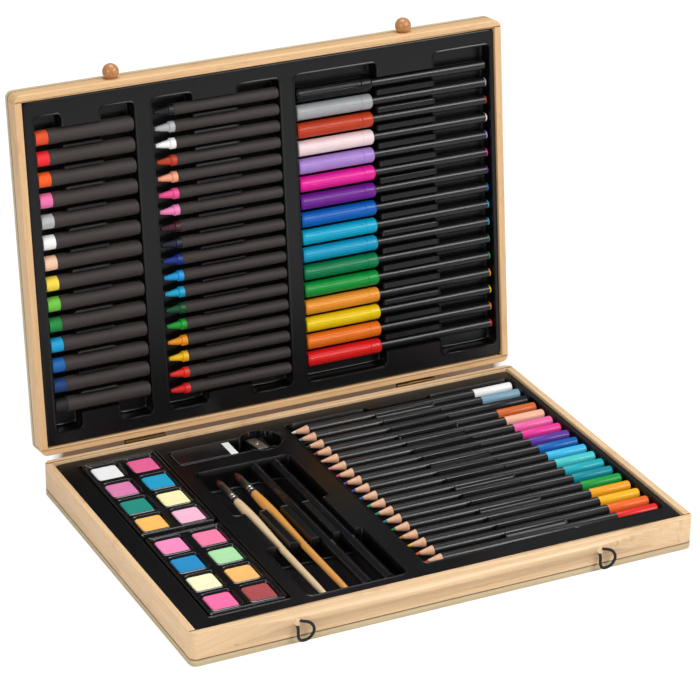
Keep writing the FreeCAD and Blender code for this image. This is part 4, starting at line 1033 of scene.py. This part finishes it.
class ART_OT_boards(bpy.types.Operator):
    """The boards and panels of both halves"""

    bl_idname = "art_set.boards"
    bl_label = "Boards and panels"

    def execute(self, context):
        base, lid = halves()
        sizes, tones = context.scene.art_case, context.scene.art_case_colours
        wood = wood_finish("lacquered_wood", tones.wood, tones.grain)
        # The base's paler wood is painted light: a brighter copy of the lid's wood
        pale = wood_finish("pale_lacquered_wood", tones.pale_wood, tones.grain)
        ply = ply_finish("lacquered_plywood", tones.panel, tones.grain)
        for prefix, half, boards in (("base", base, pale), ("lid", lid, wood)):
            wide, deep = half.wide, half.deep
            edge, wall, corner = sizes.edge, sizes.wall, sizes.corner
            tall = sizes.base_tall if prefix == "base" else sizes.lid_tall
            foot = 0 if prefix == "base" else -tall
            z = (foot + sizes.panel, foot + tall)
            front = slab(half, (0, wide), (0, wall), z, (corner, 0, 0, corner), edge)
            back = slab(half, (0, wide), (deep - wall, deep), z, (0, corner, corner, 0), edge)
            sides = [slab(half, (x, x + wall), (wall, deep - wall), z, (0, 0, 0, 0), edge, "y")
                     for x in (0, wide - wall)]
            panel_z = (foot, foot + sizes.panel - sizes.seam)
            panel = slab(half, (0, wide), (0, deep), panel_z, (corner,) * 4, edge)
            panel.own = panel.own - np.array([0, 0, foot])
            for name, node, shells, finish, slot in (
                    ("front_board", "front_wall", [front], boards, "pale_wood"),
                    ("back_board", "back_wall", [back], boards, "pale_wood"),
                    ("side_boards", "side_walls", sides, boards, "pale_wood"),
                    ("panel_sheet", "panel", [panel], ply, "pale_plywood")):
                board = piece(f"{prefix}_{name}", shells, [finish], prefix, [f"{prefix}_{node}"])
                if (prefix, name) == ("base", "front_board"):
                    self.drill(context, board, half, sizes)
        return {"FINISHED"}

    def drill(self, context, board, half, sizes):
        """Cuts the two holes for the elastic loops through the front board."""
        bits, overrun = [], 0.002
        for x in (sizes.bead_inset, half.wide - sizes.bead_inset):
            profile = [(-overrun, sizes.hole, 0), (sizes.wall + overrun, sizes.hole, 0)]
            bits.append(turned(half, x, 0, sizes.loop_height, profile, 32, "y"))
        cutter = piece("loop_drill", bits, [], "base")
        cut = board.modifiers.new("holes", "BOOLEAN")
        cut.object = cutter
        cut.operation = "DIFFERENCE"
        cut.solver = "EXACT"
        context.view_layer.update()
        made = bpy.data.meshes.new_from_object(board.evaluated_get(context.evaluated_depsgraph_get()))
        board.modifiers.clear()
        board.data = made
        bpy.data.objects.remove(cutter)


class ART_OT_trays(bpy.types.Operator):
    """The two formed trays"""

    bl_idname = "art_set.trays"
    bl_label = "Formed trays"

    def execute(self, context):
        base, lid = halves()
        finish = sheet_finish("formed_black_sheet", context.scene.art_case_colours.tray)
        ends, sides = metres(*ROWS["brush"][5]), metres(*BRUSH_WELL_SIDES)
        wells = row_areas("pencil", PENCIL_WELL_ENDS)
        wells += [(*sides, *ends[:2]), (*sides, *ends[2:])]
        recess, slot, seat = metres(*PALETTE_RECESS), metres(*ERASER_SLOT), metres(*ROUND_SEAT)
        shallow = [(recess, WELL_DEPTHS["recess"] / 1000), (slot, WELL_DEPTHS["slot"] / 1000)]
        brush_grooves = (0.0945, 0.1515)
        around_seat = (seat[0] - seat[2] - 0.001, seat[0] + seat[2] + 0.001)
        tray(base, "base", wells, shallow, ["pencil", "brush"], [brush_grooves, around_seat],
             steps=(1.3, 1.4), coarse=0.006, finish=finish, seat=seat)
        rows = ["pastel", "crayon", "pen"]
        wells = [area for key in rows for area in row_areas(key, LID_WELL_ENDS)]
        tray(lid, "lid", wells, [], rows, [], steps=(1, 1), coarse=0.008, finish=finish)
        return {"FINISHED"}


class ART_OT_pencils(bpy.types.Operator):
    """The eighteen coloured pencils, sharpened at one end and dipped in colour at the other"""

    bl_idname = "art_set.pencils"
    bl_label = "Coloured pencils"

    def execute(self, context):
        base, _ = halves()
        sizes, tones = context.scene.art_tool, context.scene.art_tool_colours
        lead = matt_finish("coloured_lead", None, 0.5, 0.00003)
        bare = wood_finish("sharpened_wood", tones.bare_wood, shade(tones.bare_wood, 0.62), 0.55,
                           0.00005, 2.0)
        black = gloss_finish("black_lacquer", tones.lacquer, 0.30, 0.15)
        dip = gloss_finish("dipped_colour", None, 0.34, 0.12)
        places, height = stick_row("pencil", base)
        start, total = STICK_STARTS["pencil"] / 1000, STICK_LENGTHS["pencil"] / 1000
        radius, cone, point = sizes.pencil, sizes.pencil_cone, sizes.pencil_lead
        dipped, tip, ball = total - sizes.pencil_dip, 0.0004, 0.0014
        lacquer, rise = 0.00015, 0.00006
        slope = (radius - lacquer - tip) / cone
        profile = [(0, tip * 0.4, 0), (0.0002, tip, 0), (point, tip + slope * point, 0),
                   (point + 0.0001, tip + slope * point + rise, 1),
                   (cone * 0.6, tip + slope * cone * 0.6, 1), (cone, radius - lacquer, 1),
                   (cone + 0.00012, radius - 0.00001, 2), (cone + 0.0004, radius, 2),
                   (dipped * 0.5, radius, 2), (dipped, radius, 2),
                   (dipped + 0.00012, radius + rise, 3)]
        lead_points = 5
        profile += [(total - ball + ball * math.sin(t), radius + rise - ball * (1 - math.cos(t)), 3)
                    for t in np.linspace(0, np.pi / 2, 6)]
        for i, y in enumerate(reversed(places)):
            end, core = linear(PENCIL_END_CODES[i]), linear(PENCIL_LEAD_CODES[i])
            tints = np.array([core] * lead_points + [end] * (len(profile) - lead_points))
            shell = turned(base, start, y, height, profile, 40, "x", tints, spin=0.7 * i)
            shell.own = shell.own + np.array([0.31 * i, 0.07 * i, 0])
            name = f"pencil_{i + 1:02d}"
            piece(f"{name}_stick", [shell], [lead, bare, black, dip], f"{name}_body", [name])
        return {"FINISHED"}


class ART_OT_pastels(bpy.types.Operator):
    """The row of oil pastels in their paper wraps"""

    bl_idname = "art_set.pastels"
    bl_label = "Oil pastels"

    def execute(self, context):
        _, lid = halves()
        sizes, tones = context.scene.art_tool, context.scene.art_tool_colours
        chalk = matt_finish("oil_pastel", None, 0.6, 0.00012, 900.0)
        paper = wrap_finish("pastel_wrap", tones.wrap)
        total = STICK_LENGTHS["pastel"] / 1000
        radius, bare = sizes.pastel, sizes.pastel_bare
        wrap, ease = 0.0004, 0.0008
        core = radius - wrap
        turns = np.linspace(0, np.pi / 2, 5)
        profile = [(ease * (1 - math.sin(t)), core - ease * (1 - math.cos(t)), 0)
                   for t in turns[::-1]]
        profile += [(bare * 0.5, core + 0.00005, 0), (bare - 0.0001, core, 0),
                    (bare, radius - 0.00012, 1), (bare + 0.00015, radius, 1),
                    (total * 0.6, radius, 1), (total - 0.0006, radius, 1),
                    (total - 0.0002, radius - 0.0002, 1), (total, radius - 0.0007, 1),
                    (total - 0.0004, radius - 0.0012, 1)]
        shells = stick_shells("pastel", lid, profile, PASTEL_CODES, 40, 0.9, (0.23, 0.11, 0))
        piece("oil_pastels", shells, [chalk, paper], "pastel_row", ["pastels"])
        return {"FINISHED"}


class ART_OT_crayons(bpy.types.Operator):
    """The row of wax crayons in their paper wraps"""

    bl_idname = "art_set.crayons"
    bl_label = "Wax crayons"

    def execute(self, context):
        _, lid = halves()
        sizes, tones = context.scene.art_tool, context.scene.art_tool_colours
        wax = matt_finish("crayon_wax", None, 0.38, 0.00004, 700.0, 0.15)
        paper = wrap_finish("crayon_wrap", tones.wrap)
        total = STICK_LENGTHS["crayon"] / 1000
        radius, cone = sizes.crayon, sizes.crayon_cone
        wrap, tip = 0.0003, 0.0013
        core = radius - wrap
        profile = [(0, tip - 0.0005, 0), (0.0002, tip - 0.0001, 0), (0.0006, tip + 0.0001, 0),
                   (cone * 0.96, core * 0.80, 0), (cone * 0.975, core - 0.0002, 0),
                   (cone * 0.99, core, 0), (cone + 0.0035, core, 0),
                   (cone + 0.0036, radius - 0.0001, 1), (cone + 0.0038, radius, 1),
                   (total * 0.6, radius, 1), (total - 0.0005, radius, 1),
                   (total - 0.0001, radius - 0.0002, 1), (total, radius - 0.0006, 1),
                   (total - 0.0003, radius - 0.0008, 0)]
        shells = stick_shells("crayon", lid, profile, CRAYON_CODES, 36, 1.3, (0.19, 0.13, 0))
        piece("wax_crayons", shells, [wax, paper], "crayon_row", ["crayons"])
        return {"FINISHED"}


class ART_OT_pens(bpy.types.Operator):
    """The row of felt pens with fluted caps"""

    bl_idname = "art_set.pens"
    bl_label = "Felt pens"

    def execute(self, context):
        _, lid = halves()
        sizes, tones = context.scene.art_tool, context.scene.art_tool_colours
        plastic = gloss_finish("cap_plastic", None, 0.34, 0.12)
        black = gloss_finish("barrel_plastic", tones.barrel, 0.3, 0.1)
        cap, radius, long = sizes.cap, sizes.pen, sizes.cap_length
        depth, flutes, smooth = sizes.flute, sizes.flutes, sizes.cap_smooth
        ring, end, total = long - sizes.cap_ring, sizes.pen_end, STICK_LENGTHS["pen"] / 1000
        places_along = [0, 0.0002, 0.0007, 0.0015, 0.0022, 0.01, 0.02, 0.03, 0.04]
        places_along += [long - smooth - 0.001, long - smooth, long - smooth + 0.0006]
        places_along += [ring - 0.0005, ring - 0.00025, ring, ring + 0.00025, ring + 0.0005]
        radii = [cap - 0.0013, cap - 0.0006, cap - 0.0002] + [cap] * 11 + [cap - 0.00025, cap, cap]
        profile = [(a, r, 0) for a, r in zip(places_along, radii)]
        shoulder = cap - radius - 0.0001
        profile += [(long - shoulder + shoulder * math.sin(t), cap - shoulder * (1 - math.cos(t)), 0)
                    for t in np.linspace(0, np.pi / 2, 6)]
        profile += [(long - 0.0004, radius + 0.00002, 0)]

        def ripple(along, angle):
            """A share off the radius: a squared raised cosine at each flute, faded at its ends."""
            start, fade_in, fade_out = 0.0012, 0.001, 0.0008
            shown = np.clip((along - start) / fade_in, 0, 1)
            shown = shown * np.clip((long - smooth - along) / fade_out, 0, 1)
            return -depth / cap * shown * (0.5 + 0.5 * np.cos(flutes * angle)) ** 2

        barrel = [(long - 0.006, radius - 0.0004, 0), (long - 0.0058, radius, 0), (0.1, radius, 0),
                  (total - end, radius, 0), (total - end + 0.0001, radius - 0.00025, 1),
                  (total - 0.0009, radius - 0.00035, 1), (total - 0.0003, radius - 0.0007, 1),
                  (total, radius - 0.0015, 1)]
        caps = stick_shells("pen", lid, profile, PEN_CODES, 6 * flutes, 0.37, ripple=ripple)
        barrels = stick_shells("pen", lid, barrel, PEN_CODES, 36, 0)
        piece("felt_pen_caps", caps, [plastic], "pen_row", ["pen_caps"], sharp=50)
        piece("felt_pen_barrels", barrels, [black, plastic], "pen_row", ["pen_barrels"])
        return {"FINISHED"}


class ART_OT_brushes(bpy.types.Operator):
    """The two round brushes"""

    bl_idname = "art_set.brushes"
    bl_label = "Brushes"

    def execute(self, context):
        base, _ = halves()
        tones = context.scene.art_tool_colours
        metal = metal_finish("ferrule_metal", tones.metal, True)
        hair = hair_finish("brush_hair", tones.hair)
        first, pitch = ROWS["brush"][:2]
        height = base.tray - BRUSH_AXIS / 1000
        knots = np.array(HANDLE_SHARES)
        along = np.linspace(0, 1, 60)
        radii = np.pad(np.interp(along, knots[:, 0], knots[:, 1]), 3, mode="edge")
        radii = np.convolve(radii, np.ones(7) / 7, mode="valid") * BRUSH_BELLY / 1000
        turns = np.linspace(0, 1, 18)
        swell = 0.0020 + 0.00045 * np.sin(np.pi * np.minimum(turns * 1.5, 1))
        shape = swell * (1 - turns ** 2.6) ** 0.75 + 0.00015
        neck, mouth = 0.0028, 0.0024

        def locks(place, angle):
            """A share of the radius: nine broad locks that wander along it, and seventeen fine ones."""
            broad = np.sin(9 * angle + 3 * np.sin(place * 500))
            return 0.03 * (broad + np.sin(17 * angle - place * 900))

        for slot, (side, (kind, *lengths)) in enumerate(BRUSHES.items()):
            tone = getattr(tones, kind)
            wood = wood_finish(f"{side}_handle_lacquer", tone, shade(tone, 0.66), 0.2, 0.00003, 1.4)
            total, ferrule, tuft = metres(*lengths)
            x, y = (first + pitch * slot) / 1000, STICK_STARTS["brush"] / 1000
            bare = total - tuft - ferrule
            handle = [(bare * a, r, 0) for a, r in zip(along, radii)]
            handle = eased(handle[:1] + handle[2:], 0.0012)
            tube = [(bare - 0.0001, neck - 0.0002, 0), (bare, neck, 0)]
            tube += [(bare + crimp + shift, neck - sunk, 0) for crimp in (0.0035, 0.0065)
                     for shift, sunk in ((-0.0007, 0), (-0.0004, 0.00012), (0, 0.0003),
                                         (0.0004, 0.00012), (0.0007, 0))]
            tube += [(bare + 0.009, neck, 0), (bare + ferrule - 0.0003, mouth, 0),
                     (bare + ferrule, mouth - 0.0002, 0)]
            tip = [(bare + ferrule - 0.001 + (tuft + 0.001) * t, r, 0)
                   for t, r in zip(turns, shape)]
            for end, node, profile, around, finish, surface, ripple in (
                    ("wood", "handle", handle, 36, wood, f"{kind}_handle", None),
                    ("tube", "ferrule", tube, 36, metal, "ferrule_metal", None),
                    ("hair", "tuft", tip, 60, hair, "brush_hair", locks)):
                shell = turned(base, x, y, height, profile, around, "y", ripple=ripple)
                piece(f"{side}_brush_{end}", [shell], [finish], f"{side}_brush",
                      [f"{side}_brush_{node}"])
        return {"FINISHED"}


class ART_OT_sketch_pencils(bpy.types.Operator):
    """The two six-sided sketching pencils"""

    bl_idname = "art_set.sketch_pencils"
    bl_label = "Sketching pencils"

    def execute(self, context):
        base, _ = halves()
        tones = context.scene.art_tool_colours
        black = gloss_finish("sketch_lacquer", tones.lacquer, 0.14, 0.7)
        wood = wood_finish("sketch_wood", tones.bare_wood, shade(tones.bare_wood, 0.62), 0.55,
                           0.00005, 2.0)
        lead = matt_finish("graphite", linear("3a3a3e"), 0.35)
        for side in ("left", "right"):
            (left, right), (start, far), (foot, top) = base.ranges(f"{side}_sketch_pencil")
            half_flats, total = (top - foot) / 2, far - start
            x, z = (left + right) / 2, (foot + top) / 2
            turn = 2 * np.pi * np.arange(96) / 96
            to_flat = np.abs((turn - np.pi / 6) % (np.pi / 3) - np.pi / 6)
            section = np.minimum(half_flats / np.cos(to_flat), half_flats * 1.1)
            stations = [(0, 0.86, 0), (0.0001, 0.94, 0), (0.0005, 1.0, 0), (total * 0.5, 1.0, 0),
                        (total - 0.0005, 1.0, 0), (total - 0.0001, 0.96, 0),
                        (total - 0.00006, 0.9, 0), (total - 0.00004, 0.34, 1),
                        (total - 0.00002, 0.32, 1), (total, 0.14, 2)]
            places = np.array([row[0] for row in stations])[:, None]
            shares = np.array([row[1] for row in stations])[:, None]
            across, up = shares * section * np.cos(turn), shares * section * np.sin(turn)
            places = np.broadcast_to(places, across.shape)
            rings = base.place(x + across, start + places, z + up)
            own = np.stack([places, across, up], -1)
            shell = skin(rings, own, [row[2] for row in stations[1:]])
            piece(f"{side}_sketch_stick", [shell], [black, wood, lead],
                  f"{side}_sketch_pencil_body", [f"{side}_sketch_pencil"], sharp=25)
        return {"FINISHED"}


class ART_OT_palettes(bpy.types.Operator):
    """The two paint palettes and their paints"""

    bl_idname = "art_set.palettes"
    bl_label = "Paint palettes"

    def execute(self, context):
        base, _ = halves()
        tones = context.scene.art_tool_colours
        plastic = gloss_finish("palette_plastic", tones.palette, 0.12, 0.5)
        paint = matt_finish("watercolour", None, 0.6, 0.00018, 520.0, 0.3)
        rim, sunk, deep, corner, lift = 0.0016, 0.0008, 0.005, 0.003, 0.0003
        for name in ("front", "rear"):
            (x0, x1), (y0, y1), (foot, top) = base.ranges(f"{name}_palette")
            area = (x0, x1, y0, y1)
            pans = self.pans(area)

            def height(x, y):
                """The sunk middle inside a rim, lips round the pans, and then the pans."""
                inner = (x0 + rim, x1 - rim, y0 + rim, y1 - rim)
                level = well_wall(outside(x, y, inner, 0.0026), sunk, sunk)
                distances = [outside(x, y, pan, corner) for pan in pans]
                for distance in distances:
                    level = np.maximum(level, lip(distance, 0.0005, 0.0012) - sunk)
                for distance in distances:
                    well = well_wall(distance, deep, 0.001) - sunk
                    level = np.where(distance < 0, well, level)
                return level

            xs, ys = (lines_along(axis, area, pans, [], 0.001, 0.0015) for axis in (0, 1))
            shell = sheet_shell(base, top, xs, ys, height, area, 0.004, foot - top, 0.0005)
            body = f"{name}_palette_body"
            piece(f"{name}_palette_tray", [shell], [plastic], body, [f"{name}_palette"],
                  sharp=60)
            floor = top - sunk - deep + lift
            cakes = [self.cake(base, pan, floor, linear(code))
                     for pan, code in zip(pans, PAINT_CODES[name])]
            piece(f"{name}_paint_cakes", cakes, [paint], body, [f"{name}_paints"],
                  sharp=50)
        return {"FINISHED"}

    def pans(self, area):
        """The eight wells: the left column from front to back, and then the right one."""
        x0, x1, y0, y1 = area
        spread, pitch, wide, long = metres(*PAN.values())
        middle_x, middle_y = (x0 + x1) / 2, (y0 + y1) / 2
        areas = []
        for x in (middle_x - spread / 2, middle_x + spread / 2):
            for i in range(4):
                y = middle_y + pitch * (i - 1.5)
                areas.append((x - wide / 2, x + wide / 2, y - long / 2, y + long / 2))
        return areas

    def cake(self, base, pan, floor, tint):
        """A cake of paint: its top sinks a little towards the middle and rounds down at its edge."""
        inset, tall = 0.0009, 0.0039
        x, y = (pan[0] + inset, pan[1] - inset), (pan[2] + inset, pan[3] - inset)
        profile = [(0.0, 0), (tall - 0.0009, 0), (tall - 0.0004, 0.00012), (tall - 0.0001, 0.0004),
                   (tall, 0.0009), (tall - 0.00005, 0.002), (tall - 0.0002, 0.004),
                   (tall - 0.00035, 0.007)]
        levels = [(floor + height, inward) for height, inward in profile]
        own = level_rings(x, y, [0.0026] * 4, levels, 8)
        return skin(base.put(own), own, None, np.tile(tint, (len(levels), 1)))


class ART_OT_eraser(bpy.types.Operator):
    """The white eraser in its sleeve"""

    bl_idname = "art_set.eraser"
    bl_label = "Eraser"

    def execute(self, context):
        base, _ = halves()
        tones = context.scene.art_tool_colours
        rubber = matt_finish("white_rubber", tones.eraser, 0.7, 0.00004, 900.0, 0.1)
        card = gloss_finish("coated_card", tones.sleeve, 0.25, 0.3, 0.00003)
        block = slab(base, *base.ranges("eraser"), (0.0008,) * 4, 0.0006)
        piece("eraser_block", [block], [rubber], "eraser_body", ["eraser"])
        x, y, z = base.ranges("eraser_sleeve")
        levels = ((x[0], 0.0), (x[1], 0.0), (x[1], 0.00045), (x[0], 0.00045))
        own = level_rings(y, z, [0.0005] * 4, levels, 4, 0)
        shell = skin(base.put(own), own, closed_way=True)
        piece("eraser_card", [shell], [card], "eraser_body", ["eraser_sleeve"])
        return {"FINISHED"}


class ART_OT_beads(bpy.types.Operator):
    """The two wooden beads that the elastic loops close over"""

    bl_idname = "art_set.beads"
    bl_label = "Closing beads"

    def execute(self, context):
        _, lid = halves()
        sizes, tones = context.scene.art_case, context.scene.art_case_colours
        wood = wood_finish("turned_bead", tones.bead, shade(tones.bead, 0.55), 0.3, 0.00003, 0.6)
        ball, stand = sizes.bead, sizes.bead_stand
        begin = -math.asin(min(stand / ball, 1)) + 0.02
        turn = np.linspace(begin, np.pi / 2 - 0.03, 26)
        profile = [(0.0, math.sqrt(ball ** 2 - stand ** 2), 0)]
        profile += [(stand + ball * math.sin(t), ball * math.cos(t), 0) for t in turn]
        shells = [turned(lid, x, lid.deep, -sizes.bead_drop, profile, 40, "y")
                  for x in (sizes.bead_inset, lid.wide - sizes.bead_inset)]
        piece("bead_pair", shells, [wood], "lid", ["closing_beads"])
        return {"FINISHED"}


class ART_OT_metalwork(bpy.types.Operator):
    """Finishes for the hinges, screws, sharpener and blade, which keep their solids"""

    bl_idname = "art_set.metalwork"
    bl_label = "Hinges and sharpener"

    def execute(self, context):
        tones = context.scene.art_tool_colours
        steel = metal_finish("plated_steel", tones.metal, False)
        brass = metal_finish("aged_brass", tones.brass, False)
        plastic = plain_gloss_finish("sharpener_plastic", tones.palette)
        for name in ("base_hinge_leaves", "lid_hinge_leaves", "hinge_pins", "base_hinge_screws",
                     "lid_hinge_screws"):
            self.paint(name, brass)
        for name in ("sharpener_blade", "sharpener_screw"):
            self.paint(name, steel)
        self.paint("sharpener_block", plastic)
        return {"FINISHED"}

    def paint(self, name, finish):
        """Puts one finish in a CAD node's material slots."""
        node = frame["nodes"][name]
        node.data.materials.clear()
        node.data.materials.append(finish)


class ART_PT_set(bpy.types.Panel):
    """Lists the pieces of the art set"""

    bl_idname = "ART_PT_set"
    bl_label = "Art Set"
    bl_space_type = "VIEW_3D"
    bl_region_type = "UI"
    bl_category = "Art Set"

    def draw(self, context):
        for operator in OPERATORS:
            self.layout.operator(operator.bl_idname)


OPERATORS = (
    ART_OT_stage, ART_OT_loops, ART_OT_boards, ART_OT_trays, ART_OT_pencils, ART_OT_pastels,
    ART_OT_crayons, ART_OT_pens, ART_OT_brushes, ART_OT_sketch_pencils, ART_OT_palettes,
    ART_OT_eraser, ART_OT_beads, ART_OT_metalwork,
)
GROUPS = {
    "art_case": CaseSizes, "art_tray": TraySizes, "art_tool": ToolSizes,
    "art_case_colours": CaseColours, "art_tool_colours": ToolColours,
}


def register():
    """Registers the property groups, the operators and the panel."""
    for name, group in GROUPS.items():
        bpy.utils.register_class(group)
        setattr(bpy.types.Scene, name, PointerProperty(type=group))
    for cls in (*OPERATORS, ART_PT_set):
        bpy.utils.register_class(cls)


def unregister():
    """Takes away what register added, in the reverse order."""
    for cls in reversed((*OPERATORS, ART_PT_set)):
        bpy.utils.unregister_class(cls)
    for name, group in reversed(GROUPS.items()):
        delattr(bpy.types.Scene, name)
        bpy.utils.unregister_class(group)


def main():
    """Builds every piece in order."""
    register()
    bpy.context.scene.view_settings.view_transform = "Standard"
    for operator in OPERATORS:
        group, name = operator.bl_idname.split(".")
        getattr(getattr(bpy.ops, group), name)()


if __name__ == "__main__":
    main()
